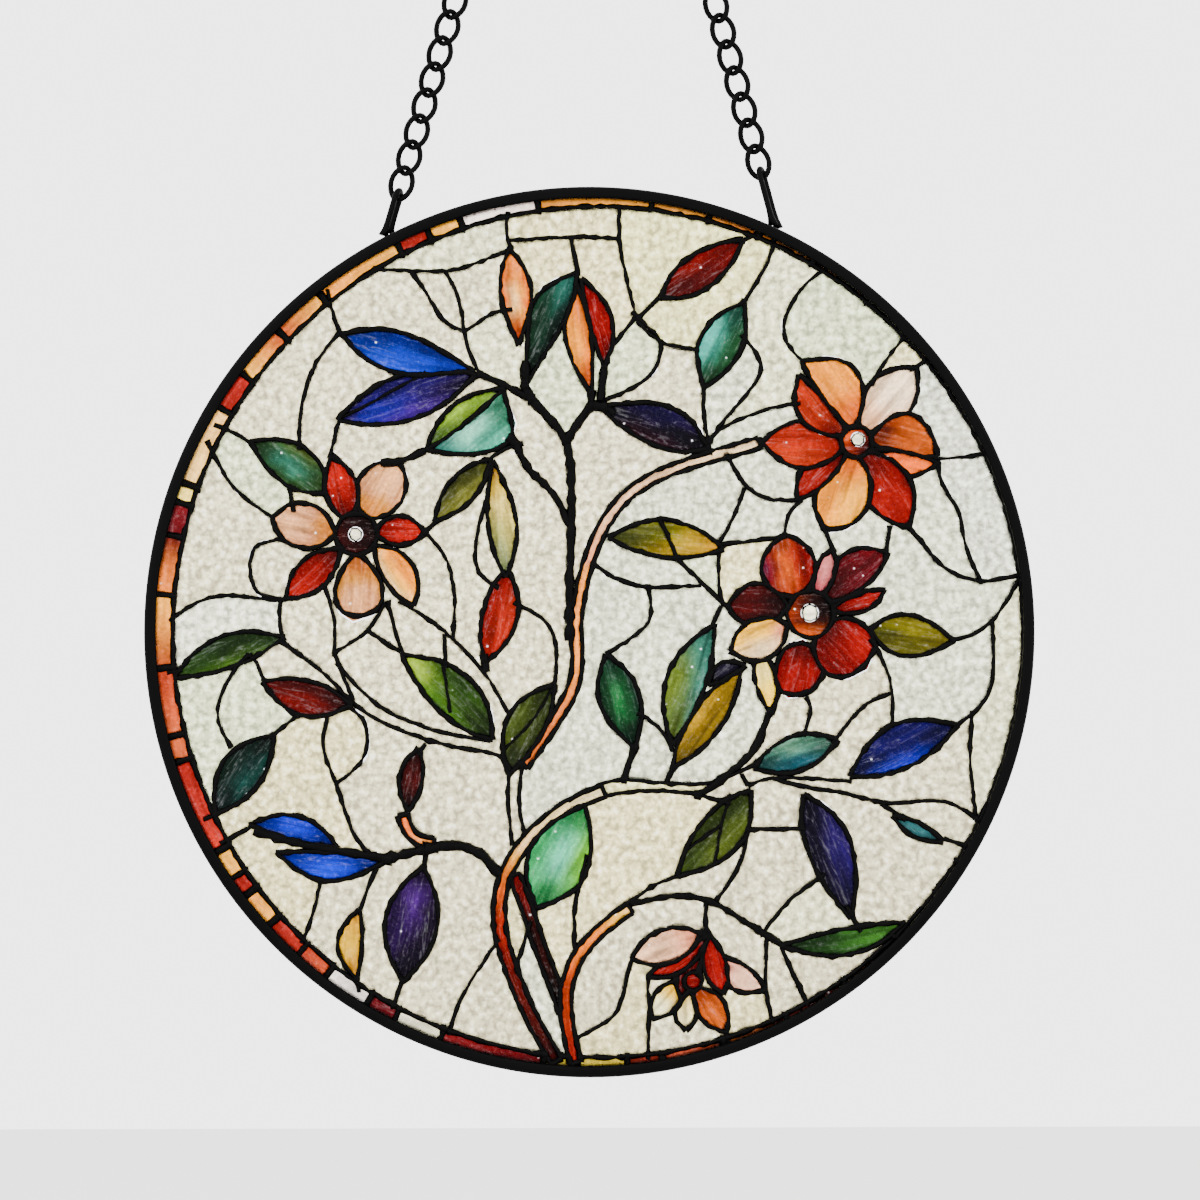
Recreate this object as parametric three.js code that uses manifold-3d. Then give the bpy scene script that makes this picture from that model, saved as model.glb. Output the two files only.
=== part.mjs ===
// A round stained glass suncatcher: flowering vine panel in a black rim, hung on a curb chain.
// Millimetres, +Z up. The origin is the hanging point, inside the top of the chain's middle link.
// The panel is drawn flat (u right, v up, w towards the viewer, from the panel's centre),
// and then stands upright facing -Y.
import * as THREE from 'three';
import { mergeVertices } from 'three/addons/utils/BufferGeometryUtils.js';
import Module from 'manifold-3d';

const wasm = await Module();
wasm.setup();

// ---- driving dimensions ----
const RIM_RADIUS = 100;
const RIM_DEPTH = 8;
const RIM_LIP = 2.6;
const RIM_WALL = 1.2;
const RIM_SIDES = 56;
const PANEL_PLAY = 0.4;
const PANEL_RADIUS = RIM_RADIUS - RIM_WALL - PANEL_PLAY;
const PANEL_DROP = 236;
const GLASS = 3;
const BEAD = 0.9;
const LIP_GAP = 0.3;
const SEAM = 0.15;
const LEAD = 1.6;
const CUT = 1.2;
const WIDE = 1.8;
const HEAVY = 2.3;
const BORDER_SHIFT = 2;
const BORDER_RADIUS = 95.7;
const BORDER_SIDES = 44;
const BORDER_FROM = 42;
const BORDER_TO = 328;
const POINT = 1.4;
const LEAF_POINTS = 2;
const PETAL_POINTS = 2;
const LEAF_FULLNESS = 0.8;
const PETAL_SPREAD = 1.15;
const PETAL_FULLNESS = 0.7;
const ARM_WIDTH = 2;
const ARM_REACH = 3;
const DOT_SIDES = 8;
const HUB_SIDES = 10;
const WEDGE_SIDES = 6;
const WEDGE_START = 60;
const WEDGE_LAP = 1;
const THROUGH = 1;
const SIMPLIFY = 0.02;
const LINK = { length: 8.5, width: 6, wire: 1.15, twist: 30, segments: 6, sides: 3 };
const HOOK = { out: 3.6, below: 1.2 };
const LINK_PLAY = 0.985;
const LINK_PITCH = LINK_PLAY * (LINK.length - 2 * LINK.wire);
const CHAINS = [
  { side: 'left', rimAngle: 117.3, links: 23 },
  { side: 'right', rimAngle: 65.2, links: 22 },
];
const EYE = { width: 4.6, wire: 1.1, turn: 70, arcSteps: 10, sides: 6, lift: 0.6 };

// ---- finishes ----
const metal = (color, roughness) => new THREE.MeshStandardMaterial({ color, roughness, metalness: 0.6 });
const BLACK_METAL = metal('#15161a', 0.4);
const BLACK_LEAD = metal('#0e0d0d', 0.55);
const tint = (color) => new THREE.MeshStandardMaterial({ color, roughness: 0.35, metalness: 0 });
const CREAM = tint('#eeece0');
const BORDER_AMBER = tint('#d98a3c');
const WHITE = tint('#f4f3ef');

// ---- design: [name, base, tip, left, right, belly, colour]; left and right are the widths each
// side of the line from base to tip, belly is where along that line the leaf is widest ----
const LEAVES = [
  ['leaf_blue_top', [-25.9, 58.6], [-55.8, 66.8], 5.2, 4.3, 0.6, '#2050c8'],
  ['leaf_violet', [-25.6, 57.8], [-56.9, 47.6], 5.4, 5.4, 0.5, '#4a2a90'],
  ['leaf_lime', [-19.6, 54.7], [-36.8, 40.9], 0.8, 4.3, 0.5, '#7d9a30'],
  ['leaf_sea_green', [-19.6, 54.7], [-36.8, 40.9], 10.4, 0.6, 0.33, '#3f9a86'],
  ['leaf_moss', [-58.9, 31.3], [-76.3, 42.9], 3.9, 5.7, 0.45, '#4f7a50'],
  ['bud_orange', [-16.1, 64.4], [-18.2, 86.2], 3.1, 4.3, 0.57, '#e88a4a'],
  ['leaf_forest', [-15, 54.5], [-2.9, 80.9], 6.4, 2, 0.66, '#1f4a38'],
  ['leaf_scarlet', [3.2, 59.5], [-2, 79.5], 0.8, 4.6, 0.5, '#c01c1c'],
  ['leaf_amber', [0.3, 53.5], [-3, 78], 4.3, 1.8, 0.55, '#e89a3a'],
  ['leaf_crimson', [15.8, 75.2], [34.5, 88.4], 3.9, 4.7, 0.44, '#a8201c'],
  ['leaf_teal', [25.5, 55], [34.6, 74.2], 5.7, 4.2, 0.5, '#3f8a6a'],
  ['leaf_plum', [26.6, 41.2], [2.3, 50.5], 3.8, 6, 0.42, '#33265c'],
  ['leaf_olive_middle', [4, 21.2], [30.1, 18.6], 5.6, 3.2, 0.5, '#93924a'],
  ['leaf_olive_small', [-22.3, 39], [-35, 24.8], 3.2, 3.6, 0.5, '#7f8048'],
  ['leaf_straw', [-21.9, 38.6], [-19, 12.4], 4, 2.8, 0.55, '#cbbd84'],
  ['leaf_rose_red', [-18.6, 14.5], [-23.6, -7], 5, 3.4, 0.5, '#cc3a40'],
  ['leaf_green_far_left', [-68.6, -1.2], [-93.4, -10.4], 2.2, 5.5, 0.5, '#4c7030'],
  ['leaf_wine', [-53.6, -16.3], [-73.6, -11.1], 5.4, 3, 0.5, '#8e2026'],
  ['leaf_green_left', [-21.9, -24.3], [-42.4, -5], 3.6, 6.8, 0.45, '#55742c'],
  ['leaf_dark_green', [-70.9, -23.1], [-84.1, -40.9], 4.1, 6, 0.5, '#1f4038'],
  ['leaf_olive_green', [-18.4, -32], [-7.9, -11.7], 6.4, 2.7, 0.52, '#5f6c34'],
  ['leaf_emerald', [10.2, -26.2], [3.6, -5], 5, 4.8, 0.55, '#1e5c3c'],
  ['leaf_sage', [18.4, -25.4], [28.1, 1.8], 6.6, 2.7, 0.5, '#6f9458'],
  ['leaf_gold', [18.4, -30.8], [34.1, -8.4], 3.6, 3.8, 0.5, '#a08830'],
  ['leaf_olive_right', [63, 0.6], [82, -2], 4.6, 5.2, 0.42, '#8a824a'],
  ['leaf_teal_low', [36.8, -30.6], [55.9, -24.2], 4.2, 4.2, 0.5, '#4a8e94'],
  ['leaf_indigo', [58.4, -32.6], [82.8, -20.9], 6.5, 4, 0.5, '#2a2a80'],
  ['leaf_olive_low', [36.2, -35.6], [19.5, -54.9], 6.3, 3.9, 0.46, '#5c6c34'],
  ['leaf_midnight', [48, -36.4], [58.7, -64.5], 6.4, 3.8, 0.44, '#241c4a'],
  ['leaf_teal_tiny', [68, -41.4], [79.6, -47.3], 1.5, 2, 0.5, '#4c7474'],
  ['leaf_green_low', [43, -70.6], [71, -65.4], 1.2, 5.1, 0.52, '#4a8a34'],
  ['leaf_bright_green', [-12, -62.2], [-1.2, -38.8], 7.2, 6.9, 0.46, '#3aa060'],
  ['leaf_blue_upper', [-56.5, -48.4], [-76.6, -43.2], 0.9, 4.9, 0.5, '#2038b0'],
  ['leaf_blue_lower', [-45.4, -50.9], [-70.6, -49.4], 6, 0.7, 0.52, '#1c3cc0'],
  ['leaf_aubergine', [-42, -78.6], [-37.4, -52.6], 6.8, 5.7, 0.5, '#3a2060'],
  ['bud_dark_red', [-40.9, -40.3], [-38.5, -26], 3.5, 2.2, 0.5, '#6a1014'],
  ['leaf_yellow', [-52.4, -78], [-51.8, -62.2], 4.9, 0.9, 0.5, '#dcb44c'],
  ['leaf_dark_violet', [26.5, -12], [35, -7.5], 3.4, 0.8, 0.5, '#2a2034'],
];

// petals add how round the outline is: 1 is a lens, less is fuller
const FLOWERS = [
  { name: 'flower_left', hub: [-52.5, 22], radius: 4.8, colour: '#d0584a', petals: [
    [[-54.5, 25], [-58, 39.6], 3, 3.6, 0.45, 1],
    [[-50.5, 25.5], [-43, 38.5], 5, 4.6, 0.5, 0.7],
    [[-48.5, 22.5], [-37, 22.3], 3.4, 2.6, 0.5, 0.9],
    [[-48.5, 19.5], [-39.6, 5.8], 4.4, 2, 0.5, 0.8],
    [[-52.3, 18], [-53.3, 2.2], 5.8, 4, 0.6, 0.75],
    [[-56, 18.8], [-68.3, 7.5], 3.2, 3.4, 0.5, 0.9],
    [[-57, 22], [-71.5, 25.5], 4.4, 4.6, 0.5, 0.8]] },
  { name: 'flower_upper_right', hub: [60, 42.8], radius: 3.6, colour: '#e0662c', petals: [
    [[59.3, 44.8], [47.5, 61], 0.8, 8, 0.55, 0.9],
    [[58, 44.5], [47, 58], 5.4, 0.8, 0.5, 0.9],
    [[57.6, 42], [38.5, 42.6], 4.8, 4.6, 0.5, 1],
    [[57.8, 40.8], [46.6, 29.6], 1.6, 4, 0.5, 0.8],
    [[59.3, 40.6], [53.5, 22.3], 6, 5, 0.5, 0.7],
    [[60.8, 40.6], [71.8, 23.5], 5.4, 4.2, 0.5, 0.8],
    [[62.2, 41], [78.5, 38], 1, 4, 0.5, 1],
    [[62.4, 42.8], [78.5, 39.5], 7.2, 0.8, 0.5, 0.85],
    [[60.8, 45.2], [73.5, 59.5], 4.8, 4.8, 0.5, 0.7]] },
  { name: 'flower_right', hub: [49.5, 4], radius: 5.4, colour: '#b02028', petals: [
    [[46.5, 7.5], [43.8, 22], 6, 5, 0.5, 0.8],
    [[51, 8], [54.5, 18.5], 2, 2, 0.5, 0.6],
    [[53, 6.5], [67, 17.8], 5.4, 2.4, 0.55, 0.8],
    [[54, 5], [66.5, 9.5], 1.2, 2.6, 0.55, 0.9],
    [[52, 1.5], [62.5, -8.5], 6, 6.2, 0.5, 0.6],
    [[48, -1.5], [44.5, -15], 5.6, 4, 0.5, 0.75],
    [[44.5, 1.5], [31.5, -4.3], 4.4, 3.8, 0.5, 0.8],
    [[44.5, 5.8], [30.8, 5.8], 4, 4.6, 0.5, 0.8],
    [[37.5, -4.5], [40.7, -18.5], 2.8, 1.6, 0.45, 1]] },
  { name: 'flower_bell', hub: [23.2, -78.6], radius: 2.2, colour: '#b83030', petals: [
    [[24.8, -67.6], [9.3, -73.3], 3.6, 3.2, 0.5, 0.8],
    [[27, -68], [13, -77.5], 3, 0.8, 0.55, 1],
    [[25.5, -67], [20.5, -82.5], 1.6, 2.6, 0.6, 1],
    [[26, -66.5], [30, -81.5], 2.2, 2.6, 0.6, 1],
    [[29, -73], [39.5, -80.5], 1.6, 3.8, 0.5, 1],
    [[21, -78.5], [13.8, -87], 2.4, 2.8, 0.5, 0.9],
    [[21.5, -80], [21.5, -89.5], 2.2, 2.2, 0.6, 0.6],
    [[23.5, -80], [30.7, -90], 3.2, 2.6, 0.5, 1]] },
];

const DOTS = [
  ['flower_left_dot', [-52.7, 22], 1.5],
  ['flower_upper_right_dot', [60.3, 43.4], 1.5],
  ['flower_right_dot', [49.5, 4.3], 1.9],
];

// stems: [name, width, colour, route]
const STEMS = [
  ['stem_right', 2.6, '#d05a2c', [[-3.3, -96.5], [-5.3, -87], [-5.2, -79], [-2.2, -72], [3, -66.5], [9, -62]]],
  ['stem_left', 2.8, '#a04a24', [[-7.6, -96], [-13.5, -86], [-18, -75], [-20.4, -66], [-19.8, -57],
    [-16, -49], [-9, -42], [-4, -38.6], [3, -35.7]]],
  ['stem_branch', 2.4, '#e8b090', [[-15, -30], [-9, -21.5], [-4, -13], [-2.8, -6], [-3.2, 2], [-1.5, 12],
    [2, 22], [7, 29.5], [13, 34], [22, 37.8], [38.2, 42.6]]],
  ['stem_dark', 2.6, '#3a1a16', [[-5.8, -85.5], [-8.6, -77.5], [-11.5, -70.5], [-13.8, -63], [-17, -54.5]]],
  ['stem_pink', 2.4, '#e8a080', [[-42.1, -41], [-41.2, -44.5], [-38.5, -47], [-35, -47.4]]],
];

// lead lines across the background: [width, route]
const LINES = [
  [CUT, [[-59, 77], [-56, 66.5]]],
  [CUT, [[-56.5, 67], [-63.5, 56], [-65.3, 41]]],
  [CUT, [[-56.5, 47], [-58.5, 39]]],
  [CUT, [[-84.5, 46.5], [-75.5, 42]]],
  [CUT, [[-86, 43], [-81, 33], [-71, 25.5]]],
  [CUT, [[-69, 20.8], [-76, 19], [-76, 11], [-68, 7.5]]],
  [CUT, [[-94.5, 2.5], [-84, 8.3], [-74.5, 8], [-68.8, 7.3]]],
  [CUT, [[-60, 11], [-57.4, -5]]],
  [CUT, [[-57.4, -4.8], [-46, 6.5]]],
  [CUT, [[-51, -0.5], [-42, -5]]],
  [CUT, [[-43, 7], [-32.5, 0], [-18.5, -18]]],
  [CUT, [[-37.5, 22.5], [-30.8, 14], [-30.8, -2]]],
  [WIDE, [[-47, 38], [-37, 40.8]]],
  [CUT, [[-22.5, 39], [-15, 42.5]]],
  [WIDE, [[-18.5, 44], [-14.5, 37], [-4.8, 24]]],
  [CUT, [[-17.2, 6.6], [-15, 5.5], [-8, 0], [-8, -12.5]]],
  [CUT, [[-49, 81.5], [-33, 81], [-17.5, 86.5]]],
  [CUT, [[-32.5, 81], [-28.3, 67.5], [-24.5, 57.5]]],
  [CUT, [[-18.5, 94.5], [-17.5, 86]]],
  [CUT, [[-18.5, 88.2], [-17, 88], [6.5, 88.5]]],
  [CUT, [[-3.6, 88], [-2.6, 80]]],
  [CUT, [[6.5, 96], [10.5, 70.3]]],
  [CUT, [[10.5, 70.3], [5, 64.5]]],
  [CUT, [[10.3, 70], [15.5, 75.2]]],
  [CUT, [[10.5, 70], [24.5, 63.5]]],
  [CUT, [[33.5, 87.5], [38, 90]]],
  [CUT, [[53.5, 82], [43, 69], [48.5, 60.5]]],
  [CUT, [[25.6, 56], [27, 40.5]]],
  [CUT, [[28, 45], [47.5, 51.5]]],
  [CUT, [[31.5, 38.5], [37, 31], [48, 29.5]]],
  [CUT, [[36, 32], [28.8, 19.8]]],
  [CUT, [[47.5, 29.5], [43.8, 21]]],
  [CUT, [[67.5, 24], [66.5, 16.5]]],
  [CUT, [[71, 24.5], [80, 14], [98, 13.2]]],
  [CUT, [[78.3, 39], [84.5, 22], [88, 13.4]]],
  [CUT, [[77.5, 39], [91, 40.3]]],
  [CUT, [[63.5, 55.5], [72, 68]]],
  [CUT, [[81, -2], [91, 3], [97, 13.2]]],
  [CUT, [[90.5, 2.6], [90.5, -13], [82, -21.5]]],
  [CUT, [[86, -18.5], [87, -42.5]]],
  [CUT, [[63.1, -1.6], [65, -4.5], [68, -21]]],
  [CUT, [[67.5, -13.8], [54.5, -25]]],
  [WIDE, [[40.7, -17], [37, -27], [27, -35]]],
  [CUT, [[28.5, 19.5], [44, 21.5]]],
  [CUT, [[29, 18.5], [30.2, 5.8]]],
  [CUT, [[0, 15.6], [13, 10.4], [3.5, -5]]],
  [WIDE, [[10, -25.5], [7.5, -33.5]]],
  [CUT, [[10.8, -18.2], [13, -19.5], [18.6, -27]]],
  [CUT, [[18.8, -30.5], [17, -34]]],
  [CUT, [[-5, -38], [5, -33.3], [27, -34], [38, -29.5]]],
  [CUT, [[35.5, -34.5], [58, -36.2], [80, -38], [88.5, -43]]],
  [CUT, [[65.5, -36.8], [71, -42.2]]],
  [CUT, [[36.5, -45.5], [28, -61.5]]],
  [CUT, [[-32.8, 1], [-32.5, -12]]],
  [CUT, [[-0.7, -48], [-3.5, -62], [-3.4, -73]]],
  [CUT, [[9.8, -72.5], [14, -78]]],
  [CUT, [[21, -54.5], [6, -62.8]]],
  [CUT, [[52.7, -54.4], [51, -56], [38.5, -68.3]]],
  [CUT, [[57.5, -61.5], [61, -67.5]]],
  [WIDE, [[9, -61], [20, -59.2], [33, -64], [42.5, -70], [43.6, -70.8]]],
  [CUT, [[26, -60.4], [26, -67.5]]],
  [CUT, [[39.7, -69], [41, -88]]],
  [CUT, [[13, -76.8], [13, -96]]],
  [CUT, [[-20.5, -69], [-31.8, -90.5]]],
  [CUT, [[-42.2, -78], [-44.3, -84.5]]],
  [CUT, [[-37.3, -52.5], [-36.5, -48.5]]],
  [CUT, [[-48, -53], [-51.8, -63]]],
  [CUT, [[-52.3, -78], [-52, -81]]],
  [CUT, [[-60.5, -55.5], [-64.8, -69.8]]],
  [CUT, [[-76, -43.6], [-83, -47.5]]],
  [CUT, [[-83.3, -40.5], [-86.8, -42]]],
  [CUT, [[-91.5, -8.5], [-95, -9]]],
  [CUT, [[-80.5, -26], [-83.5, -15], [-76.5, -5]]],
  [CUT, [[-72, -24], [-65.5, -18.5]]],
  [CUT, [[-59, -19], [-57, -34], [-48.5, -50.5]]],
  [CUT, [[-37, -24.5], [-38.7, -27.5]]],
  [CUT, [[-22.5, -24.5], [-40, -20.5], [-57, -7]]],
  [CUT, [[-18.2, -31], [-20.5, -27.5], [-40, -23.5], [-69.5, -2]]],
  [HEAVY, [[-4.6, -2], [-4.2, 28], [-5.4, 43], [-14.5, 57]]],
  [WIDE, [[-12.5, 54], [-25.5, 58.2]]],
  [HEAVY, [[-5.4, 43], [0.5, 51], [5.5, 49]]],
  [WIDE, [[0.3, 50.5], [0.3, 54.5]]],
  [HEAVY, [[-20.5, -54.5], [-30, -47.8], [-46, -51]]],
  [CUT, [[-18.3, -31.5], [-17.5, -48]]],
];

// ---- drawing the flat outlines ----
const upright = new THREE.Matrix4().makeBasis(
  new THREE.Vector3(1, 0, 0), new THREE.Vector3(0, 0, 1), new THREE.Vector3(0, -1, 0));

function leafOutline([base, tip, left, right, belly], round, points, grow) {
  const start = new THREE.Vector2(...base);
  const along = new THREE.Vector2(...tip).sub(start);
  const length = along.length();
  along.normalize();
  const across = new THREE.Vector2(-along.y, along.x);
  const power = Math.log(0.5) / Math.log(belly);
  const reach = length + 2 * grow * POINT;
  const sides = [left, -right].map((side) => {
    const width = side + Math.sign(side) * grow;
    return Array.from({ length: points }, (_, i) => {
      const t = (i + 1) / (points + 1);
      const out = width * Math.sin(Math.PI * t ** power) ** round;
      return start.clone().addScaledVector(along, t * reach - grow * POINT).addScaledVector(across, out);
    });
  });
  const first = start.clone().addScaledVector(along, -grow * POINT);
  const last = start.clone().addScaledVector(along, length + grow * POINT);
  return [first, ...sides[1], last, ...sides[0].reverse()];
}

function stripOutline(route, width) {
  const points = route.map((p) => new THREE.Vector2(...p));
  const near = [];
  const far = [];
  points.forEach((point, i) => {
    const before = points[Math.max(i - 1, 0)];
    const after = points[Math.min(i + 1, points.length - 1)];
    const along = after.clone().sub(before).normalize();
    const across = new THREE.Vector2(-along.y, along.x).multiplyScalar(width / 2);
    near.push(point.clone().add(across));
    far.unshift(point.clone().sub(across));
  });
  return [...near, ...far];
}

function circleOutline(centre, radius, sides, from = 0, to = 360) {
  const full = to - from === 360;
  return Array.from({ length: full ? sides : sides + 1 }, (_, i) => {
    const angle = THREE.MathUtils.degToRad(from + ((to - from) * i) / sides);
    return new THREE.Vector2(centre[0] + radius * Math.cos(angle), centre[1] + radius * Math.sin(angle));
  });
}

// ---- solids ----
function solid(geometry) {
  const bare = geometry.index ? geometry.toNonIndexed() : geometry.clone();
  bare.deleteAttribute('normal');
  bare.deleteAttribute('uv');
  const merged = mergeVertices(bare, 1e-4);
  return new wasm.Manifold(new wasm.Mesh({
    numProp: 3,
    vertProperties: new Float32Array(merged.attributes.position.array),
    triVerts: new Uint32Array(merged.index.array),
  }));
}

function prism(outline, back, front) {
  const geometry = new THREE.ExtrudeGeometry(new THREE.Shape(outline), {
    depth: front - back, bevelEnabled: false, curveSegments: 1 });
  geometry.translate(0, 0, back);
  return solid(geometry);
}

function largest(body) {
  return body.decompose().sort((a, b) => b.volume() - a.volume())[0];
}

function union(bodies) {
  let level = bodies;
  while (level.length > 1) {
    const next = [];
    for (let i = 0; i < level.length; i += 2) next.push(level[i + 1] ? level[i].add(level[i + 1]) : level[i]);
    level = next;
  }
  return level[0];
}

function meshOf(name, body, material, matrix, tidy = SIMPLIFY) {
  const { vertProperties, triVerts, numProp } = body.asOriginal().simplify(tidy).getMesh();
  const positions = new Float32Array((vertProperties.length / numProp) * 3);
  for (let i = 0; i < positions.length / 3; i += 1) {
    for (let k = 0; k < 3; k += 1) positions[3 * i + k] = vertProperties[numProp * i + k];
  }
  const geometry = new THREE.BufferGeometry();
  geometry.setAttribute('position', new THREE.BufferAttribute(positions, 3));
  geometry.setIndex(Array.from(triVerts));
  if (matrix) geometry.applyMatrix4(matrix);
  geometry.computeVertexNormals();
  const mesh = new THREE.Mesh(geometry, material);
  mesh.name = name;
  return mesh;
}

const BACK = -GLASS / 2;
const FRONT = GLASS / 2;

const spreadPetal = ([base, tip, left, right, belly]) =>
  [base, tip, PETAL_SPREAD * left, PETAL_SPREAD * right, belly];

// the narrow neck that joins a petal to its hub, where the petal starts close beside it
function armOutline(hub, radius, [base, tip], width) {
  const centre = new THREE.Vector2(...hub);
  const start = new THREE.Vector2(...base);
  if (start.distanceTo(centre) > radius + ARM_REACH) return [];
  const inward = new THREE.Vector2(...tip).sub(start).normalize().multiplyScalar(ARM_REACH).add(start);
  return [stripOutline([hub, inward.toArray()], width)];
}

// every coloured part of the design, with functions that draw it grown or shrunk by a margin
const panes = [
  ...DOTS.map(([name, centre, radius]) => ({
    name, material: WHITE, outlines: (grow) => [circleOutline(centre, radius + grow, DOT_SIDES)] })),
  ...FLOWERS.map(({ name, hub, radius, colour, petals }) => ({
    name, material: tint(colour), petals: true,
    arms: (grow) => petals.flatMap((petal) => armOutline(hub, radius, petal, ARM_WIDTH + 2 * grow)),
    outlines: (grow) => [circleOutline(hub, radius + grow, HUB_SIDES),
      ...petals.map((petal) =>
        leafOutline(spreadPetal(petal), PETAL_FULLNESS * petal[5], PETAL_POINTS, grow))] })),
  ...LEAVES.map(([name, ...leaf]) => ({
    name, material: tint(leaf[5]),
    outlines: (grow) => [leafOutline(leaf, LEAF_FULLNESS, LEAF_POINTS, grow)] })),
  ...STEMS.map(([name, width, colour, route]) => ({
    name, material: tint(colour), outlines: (grow) => [stripOutline(route, width + 2 * grow)] })),
];

const disc = prism(circleOutline([0, 0], PANEL_RADIUS, RIM_SIDES), BACK, FRONT);

// the border ring of glass sits round a circle set a little to the right, so it is wide on the left
const borderCircle = (grow) => circleOutline([BORDER_SHIFT, 0], BORDER_RADIUS + grow, BORDER_SIDES);
const ringGlass = disc
  .subtract(prism(borderCircle(SEAM), BACK - THROUGH, FRONT + THROUGH));
const wedge = [new THREE.Vector2(0, 0),
  ...circleOutline([0, 0], 2 * RIM_RADIUS, WEDGE_SIDES, BORDER_TO - 360, BORDER_FROM)];
const borderGlass = largest(ringGlass.subtract(prism(wedge, BACK - THROUGH, FRONT + THROUGH)));
const field = disc.intersect(union([
  prism(borderCircle(-SEAM), BACK, FRONT),
  prism([new THREE.Vector2(WEDGE_START, 0), ...circleOutline([0, 0], PANEL_RADIUS, WEDGE_SIDES,
    BORDER_TO - 360 + WEDGE_LAP, BORDER_FROM - WEDGE_LAP)], BACK, FRONT)]));

// the glass: each pane is cut to clear the panes that come before it in the list
const taken = [];
const glass = panes.map((pane) => {
  const shapes = (grow) => [...pane.outlines(grow), ...(pane.arms ? pane.arms(grow) : [])];
  const whole = union(shapes(-SEAM).map((outline) => prism(outline, BACK, FRONT)));
  const cutters = union(shapes(SEAM).map((outline) => prism(outline, BACK - THROUGH, FRONT + THROUGH)));
  const cut = taken.reduce((body, cutter) => body.subtract(cutter), whole).intersect(field);
  taken.push(cutters);
  return meshOf(pane.name, largest(cut), pane.material, upright);
});

const background = taken.reduce((body, cutter) => body.subtract(cutter), field);

// the leading: beads over every seam, standing proud of the glass, with openings over the panes
const BEAD_BACK = FRONT;
const BEAD_FRONT = FRONT + BEAD;
const bead = (outline) => prism(outline, BEAD_BACK, BEAD_FRONT);
const opening = (outline) => prism(outline, BEAD_BACK - THROUGH, BEAD_FRONT + THROUGH);
const edgeRing = prism(borderCircle(CUT / 2), BEAD_BACK, BEAD_FRONT)
  .subtract(prism(borderCircle(-CUT / 2), BEAD_BACK - THROUGH, BEAD_FRONT + THROUGH));
const singles = panes.flatMap((pane) => pane.outlines(0).map((_, i) => (grow) => pane.outlines(grow)[i]));
const before = [];
const openings = singles.map((outline) => {
  const clear = before.reduce((body, kept) => body.subtract(kept), opening(outline(-LEAD / 2)));
  before.push(opening(outline(LEAD / 2)));
  return clear;
});
const rings = union(singles.map((outline) => bead(outline(LEAD / 2))));
const lines = union(LINES.map(([width, route]) => bead(stripOutline(route, width))));
const inside = prism(circleOutline([0, 0], PANEL_RADIUS, RIM_SIDES), BEAD_BACK - THROUGH, BEAD_FRONT + THROUGH);
const lattice = union([rings, lines, edgeRing]).subtract(union(openings)).intersect(inside);

// ---- rim, eyes and chain ----
function rimBody() {
  const outer = RIM_RADIUS;
  const inner = RIM_RADIUS - RIM_LIP;
  const channel = RIM_RADIUS - RIM_WALL;
  const half = RIM_DEPTH / 2;
  const lip = FRONT + BEAD + LIP_GAP;
  const profile = [[inner, -half], [outer, -half], [outer, half], [inner, half], [inner, lip],
    [channel, lip], [channel, -lip], [inner, -lip], [inner, -half]];
  const geometry = new THREE.LatheGeometry(profile.map(([x, y]) => new THREE.Vector2(x, y)), RIM_SIDES);
  geometry.rotateX(Math.PI / 2);
  return solid(geometry);
}

// a closed link: a round bar bent to an oval and twisted about its length, so it lies flat in a row
function linkBody() {
  const { length, width, wire, twist, segments, sides } = LINK;
  const hoop = length;
  const geometry = new THREE.TorusGeometry(hoop, wire / 2, sides, segments);
  const halfTurn = Math.PI / segments;
  geometry.rotateZ(halfTurn);
  const position = geometry.attributes.position;
  for (let i = 0; i < position.count; i += 1) {
    const point = new THREE.Vector3().fromBufferAttribute(position, i);
    const ring = Math.hypot(point.x, point.y);
    const out = new THREE.Vector3(point.x / ring, point.y / ring, 0);
    const centre = new THREE.Vector3(
      out.x * (width - wire) / 2 / Math.cos(halfTurn), out.y * (length - wire) / 2, 0);
    const place = centre.addScaledVector(out, ring - hoop).setZ(point.z);
    place.applyAxisAngle(new THREE.Vector3(0, 1, 0), THREE.MathUtils.degToRad(twist) * out.y);
    position.setXYZ(i, place.x, place.y, place.z);
  }
  return geometry;
}

const linkGeometry = linkBody();
function placedLink(centre, along) {
  const front = new THREE.Vector3(0, -1, 0);
  const across = new THREE.Vector3().crossVectors(along, front);
  const matrix = new THREE.Matrix4().makeBasis(across, along, front).setPosition(centre);
  return solid(linkGeometry.clone().applyMatrix4(matrix));
}

const topCentre = new THREE.Vector3(0, 0, -(LINK.width / 2 - LINK.wire));
const wireReach = LINK.length / 2 - LINK.wire / 2;

function strand({ side, rimAngle, links }) {
  const angle = THREE.MathUtils.degToRad(rimAngle);
  const foot = new THREE.Vector3(RIM_RADIUS * Math.cos(angle), 0, RIM_RADIUS * Math.sin(angle) - PANEL_DROP);
  const start = topCentre.clone().add(new THREE.Vector3(Math.sign(foot.x) * HOOK.out, 0, -HOOK.below));
  const down = foot.clone().sub(start);
  const whole = down.length();
  down.normalize();
  const bodies = Array.from({ length: links }, (_, i) =>
    placedLink(start.clone().addScaledVector(down, wireReach + i * LINK_PITCH), down.clone().negate()));
  const last = wireReach + (links - 1) * LINK_PITCH + wireReach;
  const eyeLength = whole - last + LINK.wire + EYE.wire / 2 + SEAM;
  return { side, foot, down, eyeLength, body: union(bodies) };
}

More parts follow.
